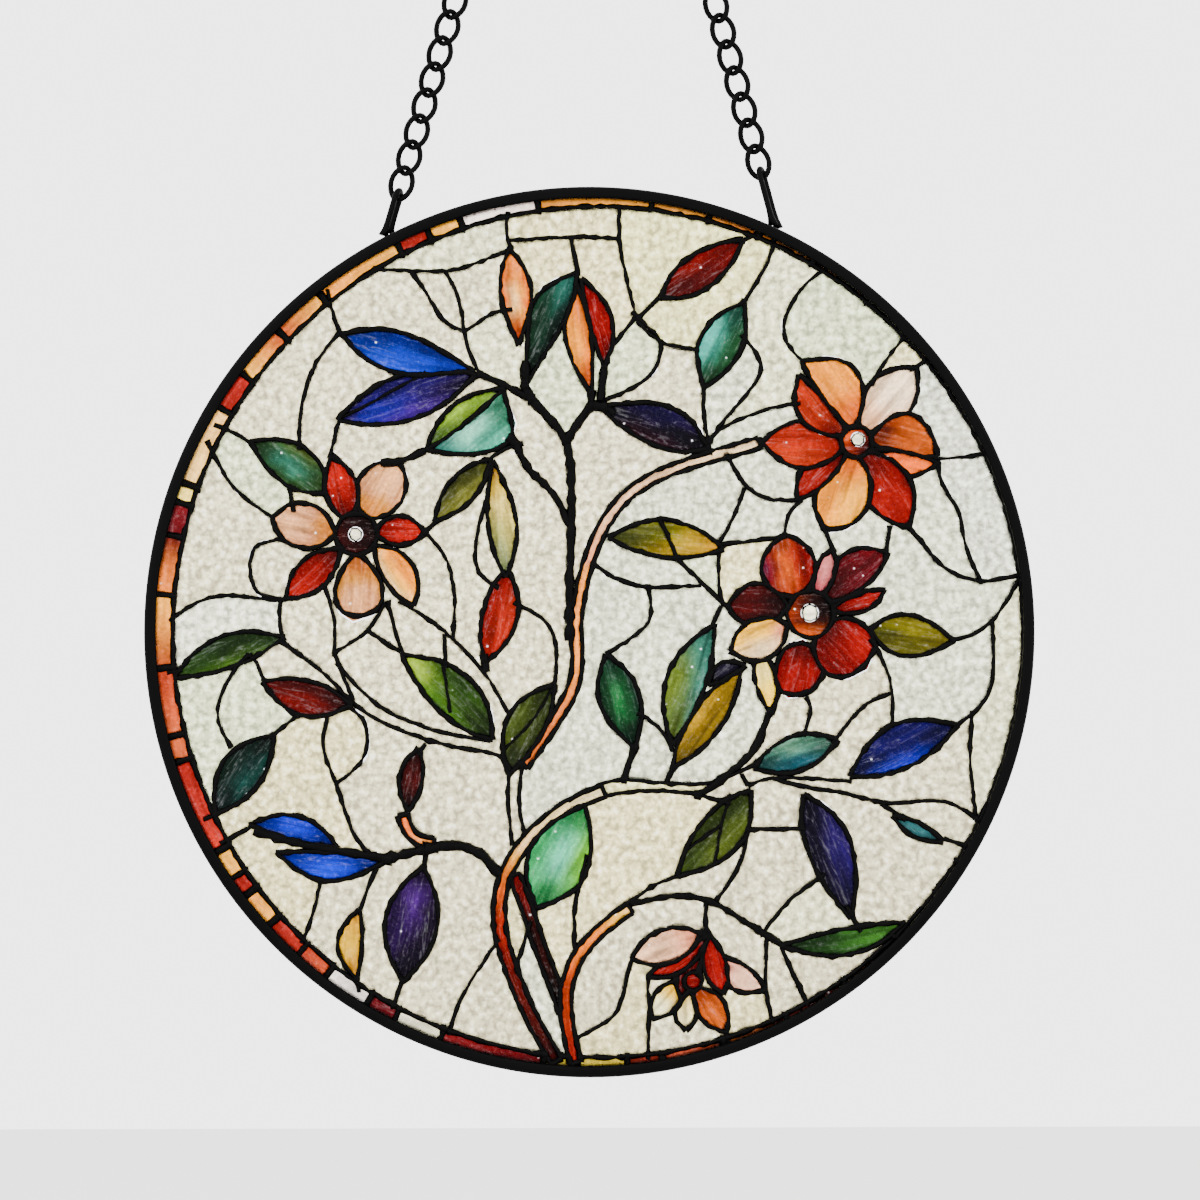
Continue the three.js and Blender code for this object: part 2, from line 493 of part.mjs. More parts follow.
// a narrow wire loop: two straight legs from the rim, joined by a half round
function eyeMesh({ side, foot, down, eyeLength }) {
  const half = (EYE.width - EYE.wire) / 2;
  const legs = eyeLength - half;
  const turn = new THREE.Vector3(Math.cos(THREE.MathUtils.degToRad(EYE.turn)),
    Math.sin(THREE.MathUtils.degToRad(EYE.turn)), 0);
  const up = down.clone().negate();
  const across = turn.addScaledVector(up, -turn.dot(up)).normalize();
  const radial = foot.clone().setZ(foot.z + PANEL_DROP).normalize();
  const lift = (hand) => {
    const offset = across.clone().multiplyScalar(hand * half);
    const height = -offset.dot(radial) / up.dot(radial) + EYE.wire * EYE.lift;
    return foot.clone().add(offset).addScaledVector(up, height);
  };
  const arc = Array.from({ length: EYE.arcSteps / 2 + 1 }, (_, i) => {
    const a = (Math.PI * i) / (EYE.arcSteps / 2);
    return foot.clone().addScaledVector(across, half * Math.cos(a))
      .addScaledVector(up, legs + half * Math.sin(a));
  });
  const route = [lift(1), ...arc, lift(-1)];
  const path = new THREE.CatmullRomCurve3(route, false, 'centripetal');
  const section = new THREE.Shape(circleOutline([0, 0], EYE.wire / 2, EYE.sides));
  const geometry = new THREE.ExtrudeGeometry(section, { steps: EYE.arcSteps, extrudePath: path, curveSegments: 1 });
  return meshOf(`hanging_eye_${side}`, solid(geometry), BLACK_METAL);
}

// ---- the whole object ----
const part = new THREE.Group();
const panel = new THREE.Group();
panel.position.z = -PANEL_DROP;
part.add(panel);

panel.add(meshOf('rim', rimBody(), BLACK_METAL, upright));
panel.add(meshOf('leading', largest(lattice), BLACK_LEAD, upright));
panel.add(meshOf('background_glass', largest(background), CREAM, upright));
panel.add(meshOf('border_glass', borderGlass, BORDER_AMBER, upright));
glass.forEach((mesh) => panel.add(mesh));

for (const chain of CHAINS) {
  const laid = strand(chain);
  part.add(meshOf(`chain_${laid.side}`, largest(laid.body), BLACK_METAL));
  part.add(eyeMesh(laid));
}
part.add(meshOf('chain_top_link', placedLink(topCentre, new THREE.Vector3(1, 0, 0)), BLACK_METAL));

export default part;
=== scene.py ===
"""A round stained glass suncatcher: a flowering vine in leaded glass, hung on a curb chain.

The panel is drawn flat in millimetres, u to the right and v up from its centre, and then
stood upright facing -Y, with the chain's hanging point at the origin.
"""
import bpy
import bmesh
import math
import random
from mathutils import Matrix, Vector, noise
from mathutils.geometry import delaunay_2d_cdt


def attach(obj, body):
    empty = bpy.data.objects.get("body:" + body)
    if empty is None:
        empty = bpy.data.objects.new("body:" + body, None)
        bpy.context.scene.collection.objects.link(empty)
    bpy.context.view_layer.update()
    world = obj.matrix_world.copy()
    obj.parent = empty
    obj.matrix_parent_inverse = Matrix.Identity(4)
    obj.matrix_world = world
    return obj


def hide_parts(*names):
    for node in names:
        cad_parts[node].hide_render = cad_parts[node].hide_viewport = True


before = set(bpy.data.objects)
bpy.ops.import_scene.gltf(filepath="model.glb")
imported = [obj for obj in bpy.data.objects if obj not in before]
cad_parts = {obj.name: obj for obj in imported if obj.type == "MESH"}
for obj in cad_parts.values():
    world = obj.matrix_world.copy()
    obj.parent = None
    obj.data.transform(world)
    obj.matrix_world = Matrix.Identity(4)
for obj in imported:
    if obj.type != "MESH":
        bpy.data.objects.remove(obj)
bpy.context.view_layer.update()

# Sizes, in millimetres.
MM = 0.001
PANEL_DROP = 236.0
PANEL_RADIUS = 98.4
RIM_RADIUS = 100.0
RIM_DEPTH = 8.0
RIM_LIP = 2.6
RIM_WALL = 1.2
GLASS = 3.0
BEAD = 0.9
# Widths of leads: round a coloured pane, along a cut, round a jewel, between border pieces.
LEAD = 1.2
CUT_LEAD = 1.0
DOT_LEAD = 0.3
BORDER_LEAD = 1.5
# A pane's gap to the middle of its lead, how far its faces lie in, and how far they ripple.
PANE_GAP = 0.2
FACE_INSET = 0.08
RIPPLE, RIPPLE_LENGTH = 0.06, 6
# The least area of a pane, in square millimetres.
SMALLEST_PANE = 0.4
# A background pane keeps at least this share of its tint's light, each one its own share.
LEAST_LIGHT = 0.93
# Fullness is the power on a side's curve: below 1 it is rounder, above 1 more pointed.
LEAF_FULLNESS = 0.8
PETAL_FULLNESS = 0.7
PETAL_SPREAD = 1.15
# The border's inner edge is a circle a little off the panel's centre.
BORDER_CENTRE = (2.0, 0.0)
BORDER_RADIUS = 95.7

# How a drawn colour changes as light comes through it: more saturated, less blue in the warm
# ones, duller greens and darker reds. The FROM values are how many times one part of a colour
# must pass another for it to count as orange or red. The shares are how much red, green and
# blue count in how light a colour looks. The darker a tint is, the more it is darkened: black
# by the factor DARKEST, white by none.
SATURATION = 1.06
WARMTH = 0.85
ORANGE_FROM = 2.6
ORANGE_BLUE = 0.45
GREEN_DULLING = 0.18
RED_FROM = 4.0
RED_DEPTH = 0.72
LIGHT_SHARES = (0.3, 0.6, 0.1)
DARKEST, LIGHT_POWER = 0.45, 0.35
BORDER_WARMTH = Vector((1.0, 1.1, 0.6))
BORDER_ORANGE_FROM = 1.8
BORDER_RED_DEPTH = 0.6


def two_tone(foot, rest):
    return [(0.1, 0, foot), (0.6, 0, rest)]


def four_tone(foot, left, right, tip):
    return [(0.1, 0, foot), (0.5, 0.5, left), (0.5, -0.5, right), (0.9, 0, tip)]


# Leaves: name, base, tip, width left and right of that line, where it is widest, then its
# colours as (along, across, colour), along from base 0 to tip 1, across from -1 right to 1 left.
LEAVES = [
    ('leaf_blue_top', (-25.9, 58.6), (-55.8, 66.8), 5.2, 4.3, 0.6,
     [(0.1, 0, '1c3f9e'), (0.5, 0.5, '2f66dc'), (0.45, -0.6, '163a9a'), (0.9, 0, '1a3c90')]),
    ('leaf_violet', (-25.6, 57.8), (-56.9, 47.6), 5.4, 5.4, 0.5,
     [(0.12, 0.3, '3c1458'), (0.45, 0.6, '7a38b8'), (0.5, -0.6, '4c2090'), (0.75, 0.2, '4038b8'),
      (0.95, 0, '4c1c78')]),
    ('leaf_lime', (-19.6, 54.7), (-36.8, 40.9), 0.8, 4.3, 0.5,
     [(0.1, -0.5, '7c9a34'), (0.5, -0.6, '9cb83c'), (0.9, -0.3, '5c7c2c')]),
    ('leaf_sea_green', (-19.6, 54.7), (-36.8, 40.9), 10.4, 0.6, 0.33,
     [(0.1, 0.4, '3f8a6c'), (0.45, 0.7, '56b49c'), (0.5, 0.2, '9cd8c0'), (0.9, 0.3, '3c8c80')]),
    ('leaf_moss', (-58.9, 31.3), (-76.3, 42.9), 3.9, 5.7, 0.45,
     [(0.1, 0, '4c6a34'), (0.5, 0, '4fa08c'), (0.45, 0.9, '51702c'), (0.5, -0.9, '6c7c38'),
      (0.95, 0, '3c5a30')]),
    ('bud_orange', (-16.1, 64.4), (-18.2, 86.2), 3.1, 4.3, 0.57,
     [(0.1, 0, 'c8602c'), (0.45, 0, 'f6d8b4'), (0.5, 0.9, 'e07a3c'), (0.5, -0.9, 'e8864a'),
      (0.85, 0, 'f0a070')]),
    ('leaf_forest', (-15, 54.5), (-2.9, 80.9), 6.4, 2, 0.66,
     [(0.1, 0, '1c3c28'), (0.5, 0.6, '2c5c40'), (0.5, -0.6, '16382c'), (0.9, 0, '3c8a7c')]),
    ('leaf_scarlet', (3.2, 59.5), (-2, 79.5), 0.8, 4.6, 0.5,
     [(0.1, -0.5, '8c1414'), (0.5, -0.5, 'd2281e'), (0.9, -0.3, 'b81c18')]),
    ('leaf_amber', (0.3, 53.5), (-3, 78), 4.3, 1.8, 0.55,
     [(0.1, 0, 'c87024'), (0.5, 0.4, 'f2b45a'), (0.9, 0, 'e08c34')]),
    ('leaf_crimson', (15.8, 75.2), (34.5, 88.4), 3.9, 4.7, 0.44,
     four_tone('7a1414', 'c0302a', '8c1818', 'a82420')),
    ('leaf_teal', (25.5, 55), (34.6, 74.2), 5.7, 4.2, 0.5,
     [(0.1, 0, '2c5c34'), (0.45, 0.6, '58c0b0'), (0.5, -0.6, '3c7c4c'), (0.9, 0, '2c6c58')]),
    ('leaf_plum', (26.6, 41.2), (2.3, 50.5), 3.8, 6, 0.42,
     [(0.1, 0, '30143c'), (0.5, -0.7, '3c2068'), (0.55, 0.7, '5c1c40'), (0.9, 0, '28103c')]),
    ('leaf_olive_middle', (4, 21.2), (30.1, 18.6), 5.6, 3.2, 0.5,
     [(0.1, 0, '5c6430'), (0.4, 0.4, '808448'), (0.72, 0, 'c8b058'), (0.95, 0, 'c09848')]),
    ('leaf_olive_small', (-22.3, 39), (-35, 24.8), 3.2, 3.6, 0.5,
     [(0.1, 0, '6c7040'), (0.5, 0.5, '98985c'), (0.5, -0.6, '5c6034'), (0.9, 0, '7c7c48')]),
    ('leaf_straw', (-21.9, 38.6), (-19, 12.4), 4, 2.8, 0.55,
     [(0.08, 0, 'b49468'), (0.45, 0.3, 'ecdca0'), (0.75, 0, 'a8ac80'), (0.95, 0, '74845c')]),
    ('leaf_rose_red', (-18.6, 14.5), (-23.6, -7), 5, 3.4, 0.5,
     [(0.1, 0, 'b02c30'), (0.5, 0.5, 'e0605c'), (0.5, -0.6, 'b83038'), (0.9, 0, 'd04c4c')]),
    ('leaf_green_far_left', (-68.6, -1.2), (-93.4, -10.4), 2.2, 5.5, 0.5,
     four_tone('3c5c24', '6c9038', '3c5c2c', '4c7030')),
    ('leaf_wine', (-53.6, -16.3), (-73.6, -11.1), 5.4, 3, 0.5,
     four_tone('5c1418', 'a42c30', '7a1a20', '8c2020')),
    ('leaf_green_left', (-21.9, -24.3), (-42.4, -5), 3.6, 6.8, 0.45,
     [(0.1, 0, '3c5420'), (0.5, 0.5, '5c8430'), (0.5, -0.5, '486c28'), (0.92, 0.1, 'b4cc4c')]),
    ('leaf_dark_green', (-70.9, -23.1), (-84.1, -40.9), 4.1, 6, 0.5,
     [(0.1, 0, '183428'), (0.5, 0.3, '2c7a70'), (0.5, -0.8, '1c4030'), (0.5, 0.9, '1c3c34'),
      (0.9, 0, '1a3830')]),
    ('leaf_olive_green', (-18.4, -32), (-7.9, -11.7), 6.4, 2.7, 0.52,
     [(0.1, 0, '44502c'), (0.5, 0.5, '6c7c3c'), (0.6, -0.5, '58642c'), (0.9, 0, '4c5c2c')]),
    ('leaf_emerald', (10.2, -26.2), (3.6, -5), 5, 4.8, 0.55,
     [(0.1, 0, '12402c'), (0.5, 0, '3ca060'), (0.5, 0.9, '14442c'), (0.5, -0.9, '103c30'),
      (0.9, 0, '1c5c40')]),
    ('leaf_sage', (18.4, -25.4), (28.1, 1.8), 6.6, 2.7, 0.5,
     [(0.1, 0, '6c7c3c'), (0.45, 0.6, '8c9c50'), (0.5, -0.5, '5ca090'), (0.85, 0.1, '4c9484'),
      (0.97, 0, '3c6c5c')]),
    ('leaf_gold', (18.4, -30.8), (34.1, -8.4), 3.6, 3.8, 0.5,
     four_tone('7c6c28', 'bca040', '94802c', 'a89038')),
    ('leaf_olive_right', (63, 0.6), (82, -2), 4.6, 5.2, 0.42,
     four_tone('6c6c38', '9c9458', '7c7844', '8c8448')),
    ('leaf_teal_low', (36.8, -30.6), (55.9, -24.2), 4.2, 4.2, 0.5,
     [(0.1, 0, '386c68'), (0.5, 0.4, '78a88c'), (0.5, -0.5, '407c88'), (0.9, 0, '507c68')]),
    ('leaf_indigo', (58.4, -32.6), (82.8, -20.9), 6.5, 4, 0.5,
     [(0.1, 0, '241c60'), (0.35, -0.8, '3c48d0'), (0.5, 0.4, '381c80'), (0.9, 0, '2c1868')]),
    ('leaf_olive_low', (36.2, -35.6), (19.5, -54.9), 6.3, 3.9, 0.46,
     [(0.1, 0, '4c5c2c'), (0.45, 0.6, '7c8a44'), (0.5, -0.5, '506028'), (0.9, 0, '586c30')]),
    ('leaf_midnight', (48, -36.4), (58.7, -64.5), 6.4, 3.8, 0.44,
     [(0.1, 0, '241038'), (0.45, 0.5, '4c2c80'), (0.5, -0.5, '281040'), (0.9, 0, '301458')]),
    ('leaf_teal_tiny', (68, -41.4), (79.6, -47.3), 1.5, 2, 0.5,
     [(0.1, 0, '3c6464'), (0.5, 0, '64989a'), (0.9, 0, '3c6060')]),
    ('leaf_green_low', (43, -70.6), (71, -65.4), 1.2, 5.1, 0.52,
     [(0.1, 0, '2c5424'), (0.5, 0.5, '4c8438'), (0.9, 0, '5c9440')]),
    ('leaf_bright_green', (-12, -62.2), (-1.2, -38.8), 7.2, 6.9, 0.46,
     [(0.1, 0, '2c9050'), (0.45, 0.7, '3cc07c'), (0.5, 0, '6cd4b4'), (0.55, -0.7, '84c040'),
      (0.95, 0, '2c8c4c')]),
    ('leaf_blue_upper', (-56.5, -48.4), (-76.6, -43.2), 0.9, 4.9, 0.5,
     [(0.1, -0.4, '1c2c8c'), (0.5, -0.6, '2c4cdc'), (0.9, -0.3, '1c348c')]),
    ('leaf_blue_lower', (-45.4, -50.9), (-70.6, -49.4), 6, 0.7, 0.52,
     [(0.1, 0.4, '142c8c'), (0.5, 0.6, '2450e0'), (0.9, 0.3, '1c3cac')]),
    ('leaf_aubergine', (-42, -78.6), (-37.4, -52.6), 6.8, 5.7, 0.5,
     [(0.1, 0, '2c0c3c'), (0.45, 0.5, '582078'), (0.5, -0.5, '381048'), (0.7, 0, '7c48a0'),
      (0.95, 0, '300c40')]),
    ('bud_dark_red', (-40.9, -40.3), (-38.5, -26), 3.5, 2.2, 0.5,
     [(0.1, 0, '3c080c'), (0.5, 0, '8c1c20'), (0.9, 0, '5c1014')]),
    ('leaf_yellow', (-52.4, -78), (-51.8, -62.2), 4.9, 0.9, 0.5,
     [(0.1, 0.3, 'c89c38'), (0.5, 0.4, 'f0d070'), (0.9, 0.2, 'd8ac44')]),
    ('leaf_dark_violet', (26.5, -12), (35, -7.5), 3.4, 0.8, 0.5,
     [(0.1, 0.3, '1c1428'), (0.5, 0.4, '443458'), (0.9, 0.2, '241c30')]),
]

# Flowers: name, hub centre, hub radius, hub colours as (u, v from the centre, colour), petals as
# (base, tip, width left, width right, widest at, fullness, colours as on the leaves).
FLOWERS = [
    ('flower_left', (-52.5, 22), 4.8, [(0, 0, '5c1018'), (3, 2, '400a10'), (-3, -2, '741c24')], [
        ((-54.5, 25), (-58, 39.6), 3, 3.6, 0.45, 1, two_tone('8c1c1c', 'd83c34')),
        ((-50.5, 25.5), (-43, 38.5), 5, 4.6, 0.5, 0.7, two_tone('d09880', 'e4ba9c')),
        ((-48.5, 22.5), (-37, 22.3), 3.4, 2.6, 0.5, 0.9, two_tone('a82020', 'dc3c30')),
        ((-48.5, 19.5), (-39.6, 5.8), 4.4, 2, 0.5, 0.8, [(0.4, 0.6, 'f0a850'), (0.5, -0.6, 'f0d8bc')]),
        ((-52.3, 18), (-53.3, 2.2), 5.8, 4, 0.6, 0.75, two_tone('c08068', 'e2b698')),
        ((-56, 18.8), (-68.3, 7.5), 3.2, 3.4, 0.5, 0.9, two_tone('8c1c20', 'd0342c')),
        ((-57, 22), (-71.5, 25.5), 4.4, 4.6, 0.5, 0.8, two_tone('c89078', 'e4baa0'))]),
    ('flower_upper_right', (60, 42.8), 3.6,
     [(0, 0, 'c0501c'), (2, -1.5, '701c18'), (-2, 1.5, 'd87828')], [
        ((59.3, 44.8), (47.5, 61), 0.8, 8, 0.55, 0.9, [(0.1, -0.4, 'd88030'), (0.6, -0.5, 'f0b050')]),
        ((58, 44.5), (47, 58), 5.4, 0.8, 0.5, 0.9, [(0.1, 0.4, 'a83818'), (0.6, 0.5, 'e06430')]),
        ((57.6, 42), (38.5, 42.6), 4.8, 4.6, 0.5, 1,
         [(0.1, 0, 'b43c18'), (0.5, 0.6, 'e86c38'), (0.5, -0.6, 'd85428')]),
        ((57.8, 40.8), (46.6, 29.6), 1.6, 4, 0.5, 0.8, two_tone('9c2018', 'cc3c28')),
        ((59.3, 40.6), (53.5, 22.3), 6, 5, 0.5, 0.7,
         [(0.1, 0, 'd08030'), (0.6, 0.4, 'f4c060'), (0.6, -0.5, 'ecaa48')]),
        ((60.8, 40.6), (71.8, 23.5), 5.4, 4.2, 0.5, 0.8, two_tone('9c2018', 'd83c2c')),
        ((62.2, 41), (78.5, 38), 1, 4, 0.5, 1, [(0.1, -0.4, 'c86024'), (0.6, -0.4, 'f09040')]),
        ((62.4, 42.8), (78.5, 39.5), 7.2, 0.8, 0.5, 0.85, [(0.1, 0.4, '9c4c20'), (0.6, 0.5, 'cc7c3c')]),
        ((60.8, 45.2), (73.5, 59.5), 4.8, 4.8, 0.5, 0.7, two_tone('e0b8a4', 'f4e2d8'))]),
    ('flower_right', (49.5, 4), 5.4,
     [(0, 0, '4c1018'), (-3.5, -1, 'c86428'), (-0.5, -4, 'd07830'), (3, 2, '3c0c14')], [
        ((46.5, 7.5), (43.8, 22), 6, 5, 0.5, 0.8,
         [(0.5, 0.7, '98306c'), (0.5, 0.15, 'e08848'), (0.5, -0.5, 'c02428')]),
        ((51, 8), (54.5, 18.5), 2, 2, 0.5, 0.6, two_tone('b86878', 'e0a0a8')),
        ((53, 6.5), (67, 17.8), 5.4, 2.4, 0.55, 0.8, two_tone('701838', '9c2858')),
        ((54, 5), (66.5, 9.5), 1.2, 2.6, 0.55, 0.9, two_tone('981820', 'cc2c30')),
        ((52, 1.5), (62.5, -8.5), 6, 6.2, 0.5, 0.6,
         [(0.1, 0, '901418'), (0.6, 0.4, 'd02c30'), (0.6, -0.5, 'b01c24')]),
        ((48, -1.5), (44.5, -15), 5.6, 4, 0.5, 0.75, two_tone('8c1418', 'c8282c')),
        ((44.5, 1.5), (31.5, -4.3), 4.4, 3.8, 0.5, 0.8,
         [(0.1, 0, 'e0a898'), (0.5, 0.5, 'f0dcc8'), (0.5, -0.3, 'f0c870')]),
        ((44.5, 5.8), (30.8, 5.8), 4, 4.6, 0.5, 0.8, two_tone('58101a', '8c1c28')),
        ((37.5, -4.5), (40.7, -18.5), 2.8, 1.6, 0.45, 1, [(0.3, 0, 'f0e0a8'), (0.8, 0, 'e8cc88')])]),
    ('flower_bell', (23.2, -78.6), 2.2, [(0, 0, 'b02428')], [
        ((24.8, -67.6), (9.3, -73.3), 3.6, 3.2, 0.5, 0.8, two_tone('d8a090', 'ecccbc')),
        ((27, -68), (13, -77.5), 3, 0.8, 0.55, 1, [(0.1, 0.4, 'a01c24'), (0.6, 0.4, 'd03034')]),
        ((25.5, -67), (20.5, -82.5), 1.6, 2.6, 0.6, 1, two_tone('6c1018', '981c24')),
        ((26, -66.5), (30, -81.5), 2.2, 2.6, 0.6, 1, two_tone('a01820', 'cc2c30')),
        ((29, -73), (39.5, -80.5), 1.6, 3.8, 0.5, 1, two_tone('e0a8a4', 'f0cec4')),
        ((21, -78.5), (13.8, -87), 2.4, 2.8, 0.5, 0.9, [(0.1, 0, 'e8c050'), (0.8, 0, 'f4f0dc')]),
        ((21.5, -80), (21.5, -89.5), 2.2, 2.2, 0.6, 0.6, [(0.1, 0, 'ecd8a0'), (0.8, 0, 'f4ead0')]),
        ((23.5, -80), (30.7, -90), 3.2, 2.6, 0.5, 1, two_tone('a85818', 'd08030'))]),
]
# Jewels: name, centre, radius.
DOTS = [
    ('flower_left_dot', (-52.7, 22), 1.5),
    ('flower_upper_right_dot', (60.3, 43.4), 1.5),
    ('flower_right_dot', (49.5, 4.3), 1.9),
]
DOT_TINT = 'f4f2ea'

# Stems: name, width, colours along the route, route.
STEMS = [
    ('stem_right', 2.6, [(0.0, 'c8402c'), (0.35, 'e0702c'), (0.7, 'ec9c50'), (1.0, 'f0d0a0')],
     [(-3.3, -97.0), (-5.3, -87), (-5.2, -79), (-2.2, -72), (3, -66.5), (9, -62)]),
    ('stem_left', 2.8, [(0.0, '6c1418'), (0.3, '8c1c1c'), (0.42, 'd0341c'), (0.55, 'e88430'),
     (0.75, 'f0e0c0'), (1.0, 'f0e4cc')],
     [(-7.6, -96.5), (-13.5, -86), (-18, -75), (-20.4, -66), (-19.8, -57), (-16, -49), (-9, -42),
      (-4, -38.6), (3, -35.7)]),
    ('stem_branch', 2.4, [(0.0, 'd88c74'), (0.4, 'e8a890'), (0.7, 'f0d0bc'), (1.0, 'f0dcc8')],
     [(-15, -30), (-9, -21.5), (-4, -13), (-2.8, -6), (-3.2, 2), (-1.5, 12), (2, 22), (7, 29.5), (13, 34),
      (22, 37.8), (38.2, 42.6)]),
    ('stem_dark', 2.6, [(0.0, '3a1a16'), (0.6, '4c1c18'), (0.8, 'a82418'), (1.0, 'c03020')],
     [(-5.8, -85.5), (-8.6, -77.5), (-11.5, -70.5), (-13.8, -63), (-17, -54.5)]),
    ('stem_pink', 2.4, [(0.0, 'e89078'), (1.0, 'f0b09c')],
     [(-42.1, -41), (-41.2, -44.5), (-38.5, -47), (-35, -47.4)]),
]


def lead(*route, width=CUT_LEAD):
    """A lead's width and its route, given as u and v in turn."""
    return width, list(zip(route[::2], route[1::2]))


